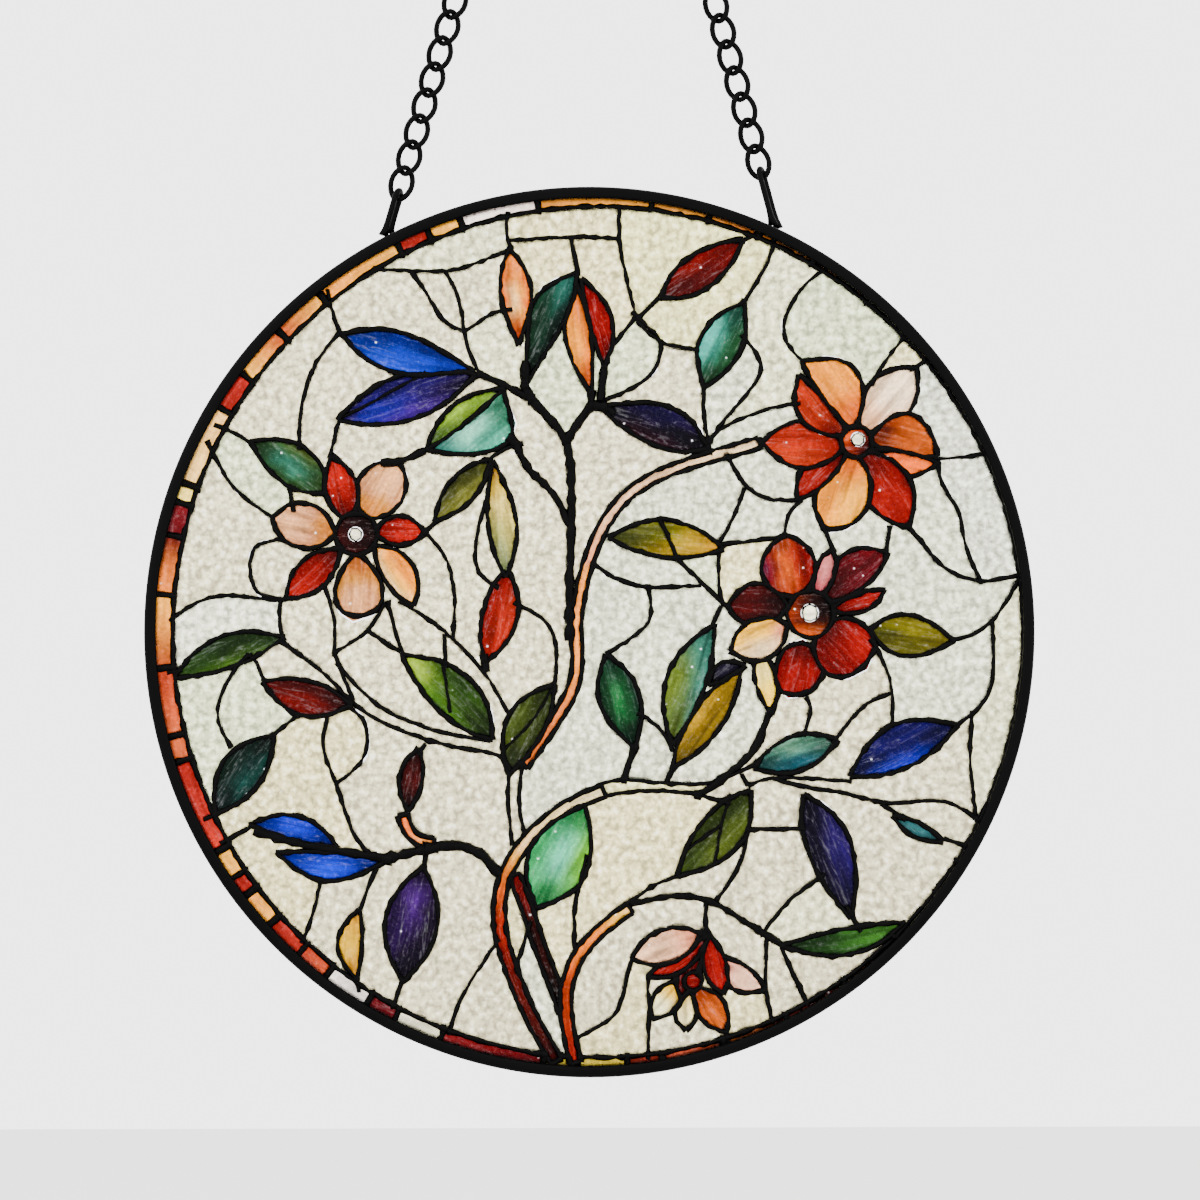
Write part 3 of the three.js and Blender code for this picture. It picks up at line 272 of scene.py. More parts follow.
# Leads between the background panes, wide dark branches, and thin veins inside leaves.
LINES = [
    lead(-75.5, -44.6, -66, -47.4, -57, -49, -46, -50.8, width=2.0),
    lead(-59, 77, -58, 72, -56, 66.5),
    lead(-56.5, 67, -62, 60, -65, 50, -65.3, 41),
    lead(-56.5, 47, -58.5, 39),
    lead(-84.5, 46.5, -80, 45, -75.5, 42),
    lead(-86, 43, -83, 37, -80, 32, -71, 25.5),
    lead(-67.5, 32.5, -66.5, 27),
    lead(-69, 20.8, -74, 20.3, -76.5, 17.5, -76.3, 12, -74.3, 8, -68, 7.5),
    lead(-94.5, 2.5, -88, 7, -81, 8.5, -74, 7.3, -68.8, 7.3),
    lead(-69.5, 7.5, -70, 2, -68.5, -2),
    lead(-60, 11, -57.3, 3, -57.5, -5),
    lead(-57.5, -4.8, -50, 0.3, -46, 6.5),
    lead(-57.5, -4.5, -55, -11, -53, -15.5),
    lead(-50, 0.3, -42, -5),
    lead(-45.5, 7, -43.8, 0, -42, -5),
    lead(-43, 7, -38, 4, -32.5, 0, -24, -8.7, -18.5, -18),
    lead(-37.5, 22.5, -33, 18, -30.5, 10, -30.8, -2),
    lead(-37, 22.5, -34, 25.5),
    lead(-47, 38, -42.5, 38.3, -37, 40.8, width=1.8),
    lead(-22.5, 39, -19, 41.5, -15, 42.5),
    lead(-18.5, 44, -16.5, 42, -14.5, 37, -8, 31, -4.8, 24, width=1.8),
    lead(-23.4, 29.5, -24.5, 26, -26, 18, -25.5, 13, -20.5, 10),
    lead(-17.2, 6.6, -15, 5.5, -10, 3, -7.5, -3, -8, -12.5),
    lead(-24, -5, -23.5, -9, width=1.8),
    lead(-32.8, -0.5, -32.5, -8),
    lead(-49, 81.5, -33, 81, -25, 83, -17.5, 86.5),
    lead(-40, 81, -36, 75, -33, 69.5, -28, 67.5, -23, 71.5, -17.5, 72.5),
    lead(-32.5, 81, -29.5, 76, -28.3, 67.5, -27, 62, -24.5, 57.5),
    lead(-18.5, 94.5, -19, 88.5, -17.5, 86),
    lead(-18.5, 88.2, -17, 88, -3, 88.8, 6.5, 88.5),
    lead(-4.3, 88.6, -2.6, 80),
    lead(6.5, 96, 6.5, 88.5, 8, 80, 10.5, 70.3),
    lead(10.3, 70, 15.5, 75.2),
    lead(10.5, 70.3, 5, 64.5),
    lead(10.5, 70, 16, 65, 24.5, 63.5),
    lead(11.3, 70, 14.9, 67.3, 16, 64.5, 15, 59, 10, 55, 0.5, 51),
    lead(33.5, 87.5, 38, 90),
    lead(41.5, 88.5, 40, 83, 34.5, 74),
    lead(53.5, 82, 48, 78, 43, 69, 45, 63.5, 48.5, 60.5),
    lead(34, 67, 38.5, 61, 38, 57, 27.5, 44.5, 27, 42.3),
    lead(25.6, 56, 25.5, 49, 27, 40.5),
    lead(27, 42.3, 28, 45, 34, 48, 41, 50.5, 47.5, 51.5),
    lead(30.6, 40.2, 31.5, 38.5, 34.7, 33, 39, 30, 48, 29.5),
    lead(34.7, 32.5, 33, 27, 28.8, 19.8),
    lead(47.5, 29.5, 44.3, 27, 43.8, 21),
    lead(51, 27, 55, 18),
    lead(67.5, 24, 66.5, 16.5),
    lead(71, 24.5, 75, 20, 79.5, 14.5, 88, 11.3, 98, 13.2, width=1.15),
    lead(78.3, 39, 79, 33, 83, 28, 84.5, 19, 88, 11.3),
    lead(77.5, 39, 84, 39.3, 91, 40.3),
    lead(63.5, 55.5, 66, 60.5, 72, 68),
    lead(72, 58.8, 77, 62),
    lead(81, -2, 88, 0.2, 94, 7, 97, 13.2),
    lead(90.5, 2.6, 91, -6, 89.5, -15, 82, -21.5),
    lead(85.9, -17.6, 86, -20, 85.5, -28, 87, -42.5),
    lead(63.1, -1.6, 65, -4.5, 68, -12, 68, -21),
    lead(67.5, -13.8, 62, -16, 54.5, -25),
    lead(48.6, -14.6, 50, -17, 48, -23.5),
    lead(40.7, -17, 38.8, -22, 37, -27, 27, -35, 25.2, -36.1, 23.7, -36.8, width=1.8),
    lead(29.5, 5.8, 27.5, 1.5),
    lead(28.5, 19.5, 44, 21.5),
    lead(29, 18.5, 28.8, 10, 30.2, 5.8),
    lead(31, 5.5, 19, 17),
    lead(0, 15.6, 10, 10.4, 25, 10.4),
    lead(13, 10.4, 14, 4, 12, 0.5, 3.5, -5),
    lead(10, -25.5, 7.5, -33.5, width=1.6),
    lead(10.8, -18.2, 13, -19.5, 17, -22.5, 18.6, -27),
    lead(18.8, -30.5, 17, -34),
    lead(-5, -38, 5, -33.3, 17, -34, 27, -34, 38, -29.5),
    lead(3, -36.8, 12, -35.7, 21, -36, 31.5, -38.5),
    lead(34, -31.8, 35.5, -34.5, 41, -32.6, 59, -33.6),
    lead(41, -33, 50, -35.3, 58, -36.2, 66, -38.7, 80, -38, 88.5, -43, width=1.15),
    lead(35.5, -44.5, 48.5, -44.2),
    lead(35.2, -45.4, 35, -48, 33, -54, 28.5, -60.3),
    lead(21, -54.5, 14, -57, 6, -62.8),
    lead(52.7, -54.4, 51, -56, 45, -60, 38.5, -68.3),
    lead(57.5, -61.5, 61, -67.5),
    lead(9, -61, 20, -59.2, 27, -60.4, 33, -64, 42.5, -70, 43.6, -70.8, width=1.6),
    lead(26, -60.4, 26, -67.5),
    lead(39.7, -69, 39.5, -80.5, 41, -88),
    lead(43, -71, 49, -84),
    lead(65.5, -38.6, 71, -42.2),
    lead(79.5, -46.5, 86, -48.5),
    lead(30.5, -89, 31.3, -93),
    lead(13, -76.8, 13.2, -86, 13, -96),
    lead(9.8, -72.5, 8, -78, 6, -86, -3.5, -91.5),
    lead(-0.7, -50, -3.5, -62, -3.4, -71),
    lead(-13.5, -65, -16.8, -76),
    lead(-20.5, -69, -29, -82, -31.8, -90.5),
    lead(-42.2, -78, -44.3, -84.5),
    lead(-37.3, -52.5, -36.5, -48.5),
    lead(-48, -53, -51, -60, -51.8, -63),
    lead(-52.3, -78, -52, -81),
    lead(-60.5, -55.5, -62, -63, -64.8, -69.8),
    lead(-76, -43.6, -83, -47.5),
    lead(-83.3, -40.5, -86.8, -42),
    lead(-91.5, -8.5, -95, -9),
    lead(-80.5, -26, -84, -19, -82, -12, -76.5, -5, -73, -11.2),
    lead(-72, -24, -65.5, -18.5),
    lead(-59, -19, -60.3, -26, -57, -34, -53, -46, -48.5, -50.5),
    lead(-54.5, -16.5, -50.5, -19.5, -50.2, -28, -57, -34),
    lead(-37, -25, -38.7, -27.5),
    lead(-22.5, -24.5, -33, -22.6, -47, -17, -57, -7),
    lead(-18.2, -31, -20.5, -27.5, -34, -25, -50, -18.5, -60, -9, -69.5, -2, width=1.15),
    lead(-4.6, -2, -4.6, 10, -4.2, 28, -5.4, 43, -14, 53.5, -14.5, 61, width=2.2),
    lead(-12.5, 52, -20, 56, -25.5, 58.2, width=1.8),
    lead(-5.4, 43, 0.5, 51, 5.5, 49, width=2.2),
    lead(0.3, 50.5, 0.3, 54.5, width=1.8),
    lead(2.3, 52, 3.2, 60.5, width=1.8),
    lead(-20.5, -54.5, -24, -50, -30, -47.8, -37, -48.8, -46, -51, width=2.4),
    lead(-18.3, -31.5, -18.5, -39, -17.5, -48),
    lead(-15.2, -29.5, -16.2, -38, -14.8, -45.5),
    lead(9.3, 72, 11.3, 70),
    lead(31.6, -36.2, 29.6, -43.3, 28, -52, width=0.7),
    lead(21.6, -49, 25.5, -46.5, 29.6, -43.3, width=0.7),
    lead(15.5, 25.6, 18, 20.5, 19.8, 16, width=0.7),
    lead(-33, -7, -32.2, -12.9, -31.4, -18.2, width=0.7),
    lead(-8, -12, -13.3, -20.4, -19.6, -26.6, width=0.7),
    lead(-56.6, 47.7, -46, 53.3, -36.9, 58.5, width=0.7),
]

# The border's pieces, anticlockwise: start angle in degrees, colour at the start and at the end.
BORDER = [
    (42, 'b4713c', 'a8683a'), (50, '9c5830', 'b87440'), (59, 'b06c38', 'a86434'),
    (67, '94502c', 'b4703c'), (74, 'b8783c', 'a4682c'), (81.8, 'c8843c', 'b87434'),
    (97, 'ecd8cc', 'f0e0d4'), (107.5, 'e0a048', 'd89440'), (112, 'b83024', 'a82820'),
    (116.5, 'e09c48', 'e0883c'), (128.6, 'e8a04c', 'd85c30'), (136, 'd8582c', 'eca850'),
    (143.4, 'b82c24', 'c03428'), (148.8, 'f0b48c', 'ecbc98'), (159.9, 'ecc888', 'ecc888'),
    (162.5, 'e07c34', 'e07c34'), (167, '7c1c24', 'e07c38'), (175, 'eca048', 'd8602c'),
    (184.8, 'd8502c', 'e06c34'), (194, 'e8a850', 'e8a850'), (197.5, 'b8281f', 'd03c2c'),
    (210.5, 'e4a04c', 'd89444'), (214.6, 'b02c24', 'b02c24'), (217.4, 'e08c40', 'e49c48'),
    (222.4, 'b02c24', 'c03828'), (227.8, 'c8482c', 'd05c30'), (232.5, 'dcd4c8', 'd4ccc4'),
    (239, '741820', '741820'), (243.2, 'd0ccb4', 'c4c0a0'), (249.8, '8c1c20', '6c141c'),
    (263.8, 'a89040', 'b89c48'), (275, '943424', '943424'), (279.7, 'c05030', 'a04c2c'),
    (288, '8c4c2c', '7c3c24'), (297, '7c2820', '8c3424'), (306, '8c4c2c', '7c4024'),
    (315, '6c2c20', '7c3c28'), (323, '8c5030', '8c5030'),
]
BORDER_END = 328
BORDER_PLAIN = '8c5030'

# The one red pane of the background, by a point inside it, and the tints of the others.
RED_PANE, RED_PANE_TINT = (-60.5, 10.4), '7c1c20'
CREAMS = ['f2f0c4', 'f0f0d0', 'f6f0b0', 'f0e8c0', 'eaf0c4', 'f4f4d8', 'eef0d8', 'f6ecb4']

# ---- helpers ----
def colour(hexa):
    """A linear colour from a six-digit hex one."""
    parts = [int(hexa[i:i + 2], 16) / 255 for i in (0, 2, 4)]
    return tuple(c / 12.92 if c <= 0.04045 else ((c + 0.055) / 1.055) ** 2.4 for c in parts)


def clamp(value, low=0.0, high=1.0):
    return min(max(value, low), high)


def stand(u, v, w):
    """A point of the flat panel, in metres, upright at its place below the hanging point."""
    return Vector((u * MM, -w * MM, (v - PANEL_DROP) * MM))


def direction(angle):
    return Vector((math.cos(math.radians(angle)), math.sin(math.radians(angle))))


def angle_of(point):
    return math.degrees(math.atan2(point.y, point.x)) % 360


def left_of(way):
    """The direction to the left of a way across the flat panel."""
    return Vector((-way.y, way.x))


def circle(centre, radius, sides):
    angles = [math.radians(360.0 * i / sides) for i in range(sides)]
    return [Vector((centre[0] + radius * math.cos(a), centre[1] + radius * math.sin(a))) for a in angles]


def smooth_route(route, spacing):
    """A route of straight runs rounded into one flowing line through its points."""
    points = [Vector(p) for p in route]
    if len(points) == 2:
        return points
    ends = [2 * points[0] - points[1]] + points + [2 * points[-1] - points[-2]]
    out = []
    for a, b, c, d in zip(ends, ends[1:], ends[2:], ends[3:]):
        steps = max(2, round((c - b).length / spacing))
        for i in range(steps):
            t = i / steps
            out.append(0.5 * (2 * b + (c - a) * t + (2 * a - 5 * b + 4 * c - d) * t * t
                              + (3 * b - a - 3 * c + d) * t ** 3))
    return out + [points[-1]]


# ---- how a pane is painted ----
SPOT_SOFTNESS, SPOT_POWER = 0.012, 1.6
ACROSS_SHARE = 0.6


def deepen(shade):
    """The tint as it looks with light behind it: stronger and a little darker."""
    if shade.x > shade.z:
        blue = WARMTH if shade.x < ORANGE_FROM * shade.z else ORANGE_BLUE
        shade = Vector((shade.x, shade.y, shade.z * blue))
    light = sum(share * part for share, part in zip(LIGHT_SHARES, shade))
    if shade.x > RED_FROM * shade.y:
        shade = shade * RED_DEPTH
    if shade.y > max(shade.x, shade.z):
        shade = shade.lerp(Vector((light, light, light)), GREEN_DULLING)
    darker = DARKEST + (1 - DARKEST) * light ** LIGHT_POWER
    return Vector([clamp(light + (part - light) * SATURATION) * darker for part in shade])


def blend_spots(spots, t, s, squeeze=1.0):
    """The colour at (t, s), where near spots of colour count for more than far ones."""
    total = 0.0
    mixed = Vector((0, 0, 0))
    for a, b, shade in spots:
        weight = 1.0 / ((t - a) ** 2 + (s - b * squeeze) ** 2 + SPOT_SOFTNESS) ** SPOT_POWER
        total += weight
        mixed += Vector(shade) * weight
    return mixed / total


class Petal:
    """A leaf or petal: an outline about a line from base to tip, painted by where a point lies."""

    def __init__(self, base, tip, left, right, belly, fullness, colours):
        self.base = Vector(base)
        self.along = Vector(tip) - self.base
        self.length = self.along.length
        self.along.normalize()
        self.across = left_of(self.along)
        self.sides = (left, right)
        self.power = math.log(0.5) / math.log(belly)
        self.fullness = fullness
        self.colours = [(a, b, colour(c)) for a, b, c in colours]

    def half_width(self, t, side):
        return self.sides[side] * math.sin(math.pi * clamp(t) ** self.power) ** self.fullness

    def outline(self, steps=9):
        first = [(i / steps, 1) for i in range(steps)]
        last = [(1 - i / steps, 0) for i in range(steps)]
        points = []
        for t, side in first + last:
            out = self.half_width(t, side) * (1 if side == 0 else -1)
            points.append(self.base + self.along * self.length * t + self.across * out)
        return points

    def grain(self, point):
        offset = point - self.base
        return offset.dot(self.along), offset.dot(self.across)

    def paint(self, point):
        along, across = self.grain(point)
        reach = max(self.sides[0 if across > 0 else 1], 0.5)
        share = across / reach * ACROSS_SHARE
        return deepen(blend_spots(self.colours, along / self.length, share, ACROSS_SHARE))


class Hub:
    """A flower's round middle, painted by where a point lies from its centre."""

    def __init__(self, centre, radius, colours):
        self.centre = Vector(centre)
        self.radius = radius
        self.colours = [(a / radius, b / radius, colour(c)) for a, b, c in colours]

    def outline(self):
        return circle(self.centre, self.radius, 24)

    def grain(self, point):
        return tuple(point - self.centre)

    def paint(self, point):
        offset = (point - self.centre) / self.radius
        return deepen(blend_spots(self.colours, offset.x, offset.y))


class Stem:
    """A strip of glass along a route, painted along its length."""
    SPACING = 2.0

    def __init__(self, width, colours, route):
        self.route = smooth_route(route, self.SPACING)
        self.width = width
        self.colours = [(a, 0.0, colour(c)) for a, c in colours]

    def outline(self):
        near, far = [], []
        for i, point in enumerate(self.route):
            run = (self.route[min(i + 1, len(self.route) - 1)] - self.route[max(i - 1, 0)]).normalized()
            side = left_of(run) * (self.width / 2)
            near.append(point + side)
            far.append(point - side)
        return far + near[::-1]

    def grain(self, point):
        spot = min(range(len(self.route) - 1), key=lambda i: (self.route[i] - point).length_squared)
        offset = point - self.route[spot]
        run = (self.route[spot + 1] - self.route[spot]).normalized()
        return spot * self.SPACING + offset.dot(run), offset.dot(left_of(run))

    def paint(self, point):
        length = self.SPACING * (len(self.route) - 1)
        return deepen(blend_spots(self.colours, self.grain(point)[0] / length, 0.0))


def panes_in_order():
    """Every coloured pane with the name of the piece it belongs to; earlier ones lie over later."""
    panes = [(name, Hub(centre, radius, [(0, 0, DOT_TINT)])) for name, centre, radius in DOTS]
    for name, centre, radius, shades, petals in FLOWERS:
        panes.append((name, Hub(centre, radius, shades)))
        panes += [(name, Petal(base, tip, left * PETAL_SPREAD, right * PETAL_SPREAD, belly,
                               fullness * PETAL_FULLNESS, colours))
                  for base, tip, left, right, belly, fullness, colours in petals]
    panes += [(name, Petal(base, tip, left, right, belly, LEAF_FULLNESS, shades))
              for name, base, tip, left, right, belly, shades in LEAVES]
    return panes + [(name, Stem(width, shades, route)) for name, width, shades, route in STEMS]


# ---- the drawing: panes, border and leads laid over each other and cut into cells ----
LINE_SPACING = 2.5
FILLER_STEP, FILLER_SHAKE = 2.4, 0.5
PANES = panes_in_order()
BACKGROUND = len(PANES)
BORDER_RING = BACKGROUND + 1


def drawn_leads():
    """Every lead that is drawn as a line, with its width, and those between the border's pieces."""
    drawn = [(width, smooth_route(route, LINE_SPACING)) for width, route in LINES]
    for start in [piece[0] for piece in BORDER] + [BORDER_END]:
        way = direction(start)
        inner = next(r / 4 for r in range(400, 340, -1)
                     if (way * r / 4 - Vector(BORDER_CENTRE)).length < BORDER_RADIUS)
        drawn.append((BORDER_LEAD, [way * inner, way * (PANEL_RADIUS + 0.3)]))
    return drawn


def filler_points():
    """A shaken grid of points, so that colour and ripples can change across a pane."""
    rng = random.Random(4)

    def shake():
        return rng.uniform(-FILLER_SHAKE, FILLER_SHAKE)
    rows = range(int(2 * PANEL_RADIUS / FILLER_STEP))
    spots = [Vector(((i + 0.5 * (j % 2)) * FILLER_STEP - PANEL_RADIUS + shake(),
                     j * FILLER_STEP - PANEL_RADIUS + shake())) for i in rows for j in rows]
    return [spot for spot in spots if spot.length < PANEL_RADIUS - 1.0]


def sides_of(tri):
    return list(zip(tri, tri[1:] + tri[:1]))


def key_of(side):
    """One name for the side between two points, whichever way it is walked."""
    return tuple(sorted(side))


def kind_of(sources):
    """The topmost pane over a triangle, else the background or the border ring, or -1 outside."""
    over = [face for face in sources if face < BACKGROUND]
    if over:
        return min(over)
    if BORDER_RING not in sources:
        return -1
    return BACKGROUND if BACKGROUND in sources else BORDER_RING


def flood_cells(tris, kinds, cuts, beside):
    """Each triangle's cell, and the cells: triangles of one kind with no lead between them."""
    cell, cells = [-1] * len(tris), []
    for first, kind in enumerate(kinds):
        if cell[first] >= 0 or kind < 0:
            continue
        stack, members = [first], []
        cell[first] = len(cells)
        while stack:
            members.append(stack.pop())
            for key in map(key_of, sides_of(tris[members[-1]])):
                for other in [] if key in cuts else beside[key]:
                    if cell[other] < 0 and kinds[other] == kind:
                        cell[other] = len(cells)
                        stack.append(other)
        cells.append(members)
    return cell, cells


def lay_out():
    """The panel's points and triangles, each triangle's kind, the cells, and the leads' widths."""
    outlines = [pane.outline() for _, pane in PANES]
    outlines += [circle(BORDER_CENTRE, BORDER_RADIUS, 150), circle((0, 0), PANEL_RADIUS, 180)]
    points, faces, runs, widths = [], [], [], []
    for outline in outlines:
        faces.append(list(range(len(points), len(points) + len(outline))))
        points += outline
    for width, route in drawn_leads():
        runs += [(len(points) + i, len(points) + i + 1) for i in range(len(route) - 1)]
        widths += [width] * (len(route) - 1)
        points += route
    points += filler_points()
    verts, edges, tris, _, from_edges, from_faces = delaunay_2d_cdt(points, runs, faces, 0, 1e-5)
    kinds = [kind_of(sources) for sources in from_faces]
    cuts = {}
    for edge, sources in zip(edges, from_edges):
        lines = [widths[s] for s in sources if s < len(runs)]
        if lines:
            cuts[key_of(edge)] = max(lines)
    beside = {}
    for index, tri in enumerate(tris):
        for side in sides_of(tri):
            beside.setdefault(key_of(side), []).append(index)
    cell, cells = flood_cells(tris, kinds, cuts, beside)
    seams = {}
    for key, sides in beside.items():
        kept = {(kinds[i], cell[i]) for i in sides if kinds[i] >= 0}
        if key in cuts and kept:
            edge_of_pane = len(kept) > 1 and any(kind < BACKGROUND for kind, _ in kept)
            seams[key] = max(CUT_LEAD, cuts[key]) if edge_of_pane else cuts[key]
        elif len(kept) > 1:
            seams[key] = DOT_LEAD if any(0 <= kind < len(DOTS) for kind, _ in kept) else LEAD
    return verts, tris, kinds, cells, seams


VERTS, TRIS, KINDS, CELLS, SEAMS = lay_out()


# ---- objects and node trees ----
def linked(name, data):
    made = bpy.data.objects.new(name, data)
    bpy.context.scene.collection.objects.link(made)
    return made


def new_object(name, bm, material, smooth=True):
    mesh = bpy.data.meshes.new(name)
    bm.to_mesh(mesh)
    bm.free()
    for face in mesh.polygons:
        face.use_smooth = smooth
    mesh.materials.append(material)
    return linked(name, mesh)


def join_rings(bm, first, second):
    """A band of faces between two rings of points."""
    for k in range(len(first)):
        m = (k + 1) % len(first)
        bm.faces.new((first[k], first[m], second[m], second[k]))


class Nodes:
    """Short ways to place a tree's nodes, fed with values or with other nodes' outputs."""

    def __init__(self, tree):
        self.tree = tree

    def feed(self, socket, value):
        if isinstance(value, bpy.types.NodeSocket):
            self.tree.links.new(value, socket)
        else:
            socket.default_value = value

    def node(self, kind, inputs=None, **settings):
        node = self.tree.nodes.new(kind)
        for key, value in settings.items():
            setattr(node, key, value)
        for key, value in (inputs or {}).items():
            self.feed(node.inputs[key], value)
        return node

    def add(self, kind, inputs=None, **settings):
        """A new node's first output."""
        return self.node(kind, inputs, **settings).outputs[0]

    def calc(self, operation, *values, **settings):
        return self.add('ShaderNodeMath', dict(enumerate(values)), operation=operation, **settings)

    def vector(self, operation, first, second):
        other = 'Scale' if operation == 'SCALE' else 1
        return self.add('ShaderNodeVectorMath', {0: first, other: second}, operation=operation)

    def join(self, *parts):
        return self.add('ShaderNodeCombineXYZ', dict(enumerate(parts)))

    def remap(self, value, low=0.0, high=1.0, to_low=0.0, to_high=1.0):
        return self.add('ShaderNodeMapRange', {'Value': value, 'From Min': low, 'From Max': high,
                                               'To Min': to_low, 'To Max': to_high})

    def clouds(self, scale, detail, **more):
        """A noise texture; where no Vector is fed, it reads the piece's own position."""
        return self.node('ShaderNodeTexNoise', {'Scale': scale, 'Detail': detail, **more}).outputs

    def mix(self, factor, *ends):
        """A mix of two colours. The node also holds unused sockets for other kinds of value."""
        node = self.node('ShaderNodeMix', {'Factor': factor}, data_type='RGBA')
        for socket, value in zip([s for s in node.inputs if s.type == 'RGBA'], ends):
            self.feed(socket, value)
        return next(s for s in node.outputs if s.type == 'RGBA')

    def put_out(self, results):
        out = self.node('NodeGroupOutput')
        for label, value in results.items():
            self.feed(out.inputs[label], value)

    def plain_mesh(self, geometry, material):
        """The end of a geometry tree: real meshes, in their material."""
        plain = self.add('GeometryNodeRealizeInstances', {'Geometry': geometry})
        dressed = self.add('GeometryNodeSetMaterial', {'Geometry': plain, 'Material': material})
        self.put_out({'Geometry': dressed})


def geometry_tree(name, sizes):
    """A Geometry Nodes tree with one mesh input and a named number input for each size."""
    tree = bpy.data.node_groups.new(name, 'GeometryNodeTree')
    tree.interface.new_socket('Geometry', in_out='INPUT', socket_type='NodeSocketGeometry')
    for label, value in sizes.items():
        kind = 'NodeSocketInt' if isinstance(value, int) else 'NodeSocketFloat'
        tree.interface.new_socket(label, in_out='INPUT', socket_type=kind).default_value = value
    tree.interface.new_socket('Geometry', in_out='OUTPUT', socket_type='NodeSocketGeometry')
    return Nodes(tree)


def run_tree(name, source, tree):
    """Run a tree on a source mesh and keep what it makes as a plain mesh object."""
    holder = linked(name + '_source', source)
    holder.modifiers.new('make', 'NODES').node_group = tree
    bpy.context.view_layer.update()
    evaluated = holder.evaluated_get(bpy.context.evaluated_depsgraph_get())
    mesh = bpy.data.meshes.new_from_object(evaluated)
    mesh.name = name
    bpy.data.objects.remove(holder)
    return linked(name, mesh)


# ---- glass ----
def pane_mesh(bm, layers, members, paint, grain, seed):
    """One pane: a slab with gently uneven faces, set back a little from its lead all round."""
    tint, run = layers
    turn = random.Random(seed).uniform(0, 6.28)
    sides = [side for index in members for side in sides_of(TRIS[index])]
    known = set(sides)
    edge = [(a, b) for a, b in sides if (b, a) not in known]
    inward = {}
    for side in edge:
        normal = left_of((VERTS[side[1]] - VERTS[side[0]]).normalized())
        for point in side:
            inward.setdefault(point, []).append(normal)
    made = {}
    for point in dict.fromkeys(p for index in members for p in TRIS[index]):
        flat = VERTS[point].copy()
        if point in inward:
            flat += sum(inward[point], Vector((0, 0))).normalized() * PANE_GAP
        place = Vector((flat.x / RIPPLE_LENGTH, flat.y / RIPPLE_LENGTH, seed))
        half = GLASS / 2 - FACE_INSET + RIPPLE * noise.noise(place)
        shade = paint(flat)
        along, across = grain(flat)
        made[point] = [bm.verts.new(stand(flat.x, flat.y, w)) for w in (half, -half)]
        for vert in made[point]:
            vert[tint] = (*shade, 1.0)
            vert[run] = (along, across + 31.0 * math.sin(seed), turn)
    for index in members:
        a, b, c = (made[p] for p in TRIS[index])
        bm.faces.new((a[0], b[0], c[0]))
        bm.faces.new((c[1], b[1], a[1]))
    for a, b in edge:
        bm.faces.new((made[b][0], made[a][0], made[a][1], made[b][1]))


def inside(point, members):
    for index in members:
        a, b, c = (VERTS[p] for p in TRIS[index])
        if min((b - a).cross(point - a), (c - b).cross(point - b), (a - c).cross(point - c)) >= 0:
            return True
    return False


def middle_and_area(members):
    total, area = Vector((0, 0)), 0.0
    for index in members:
        a, b, c = (VERTS[p] for p in TRIS[index])
        part = abs((b - a).cross(c - a)) / 2
        total += (a + b + c) / 3 * part
        area += part
    return total / area, area


def warmed(hexa):
    """A border colour as it looks lit: darker when red, less blue when orange."""
    shade = Vector(colour(hexa))
    if shade.x > RED_FROM * shade.y:
        return shade * BORDER_RED_DEPTH
    return shade * BORDER_WARMTH if shade.x > BORDER_ORANGE_FROM * shade.z else shade


def border_paint(middle):
    """How the border piece round a point changes from its start colour to its end colour."""
    angle = angle_of(middle)
    ends = [piece[0] for piece in BORDER[1:]] + [BORDER_END]
    for (start, first, second), end in zip(BORDER, ends):
        if start <= angle < end:
            low, high = warmed(first), warmed(second)
            return lambda p: low.lerp(high, clamp((angle_of(p) - start) / (end - start)))
    plain = Vector(colour(BORDER_PLAIN))
    return lambda p: plain


def ring_grain(point):
    return math.atan2(point.y, point.x) * PANEL_RADIUS, point.length


def background_paint(members, rng):
    """A background pane's one tint, and its grain turned its own way."""
    if inside(Vector(RED_PANE), members):
        shade = Vector(colour(RED_PANE_TINT))
    else:
        shade = Vector(colour(rng.choice(CREAMS))) * rng.uniform(LEAST_LIGHT, 1.0)
    turn = rng.uniform(0, 3.14)
    return (lambda p: shade), (lambda p: (p.x * math.cos(turn) + p.y * math.sin(turn),
                                          p.y * math.cos(turn) - p.x * math.sin(turn)))


def build_glass():
    """Every pane, gathered into one object for each CAD node of glass."""
    meshes = {}
    for number, members in enumerate(CELLS):
        kind = KINDS[members[0]]
        middle, area = middle_and_area(members)
        if area < SMALLEST_PANE:
            continue
        if kind < BACKGROUND:
            name, pane = PANES[kind]
            paint, grain = pane.paint, pane.grain
        elif kind == BORDER_RING:
            name, paint, grain = 'border_glass', border_paint(middle), ring_grain
        else:
            name = 'background_glass'
            paint, grain = background_paint(members, random.Random(number))
        if name not in meshes:
            bm = bmesh.new()
            meshes[name] = (bm, (bm.verts.layers.float_color.new('glass_tint'),
                                 bm.verts.layers.float_vector.new('grain_run')))
        pane_mesh(*meshes[name], members, paint, grain, number * 1.37 + 2.0)
    finishes = {'background_glass': GRANULAR, 'border_glass': BORDER_FINISH}
    return {name: new_object('pane_' + name, bm, finishes.get(name, STREAKY), smooth=False)
            for name, (bm, _) in meshes.items()}


# ---- leading ----
LEADING_SIZES = {'Bead Offset': 0.00142, 'Sides': 7, 'Spacing': 0.0013, 'Unevenness': 0.0013,
                 'Unevenness Scale': 620.0, 'Panel Drop': PANEL_DROP * MM}
# A route ends where its width changes, or where it turns by more than 60 degrees: SHARP_TURN is
# the cosine of the angle that is then left between its two arms.
SHARP_TURN, WIDTH_STEP = -0.5, 0.05
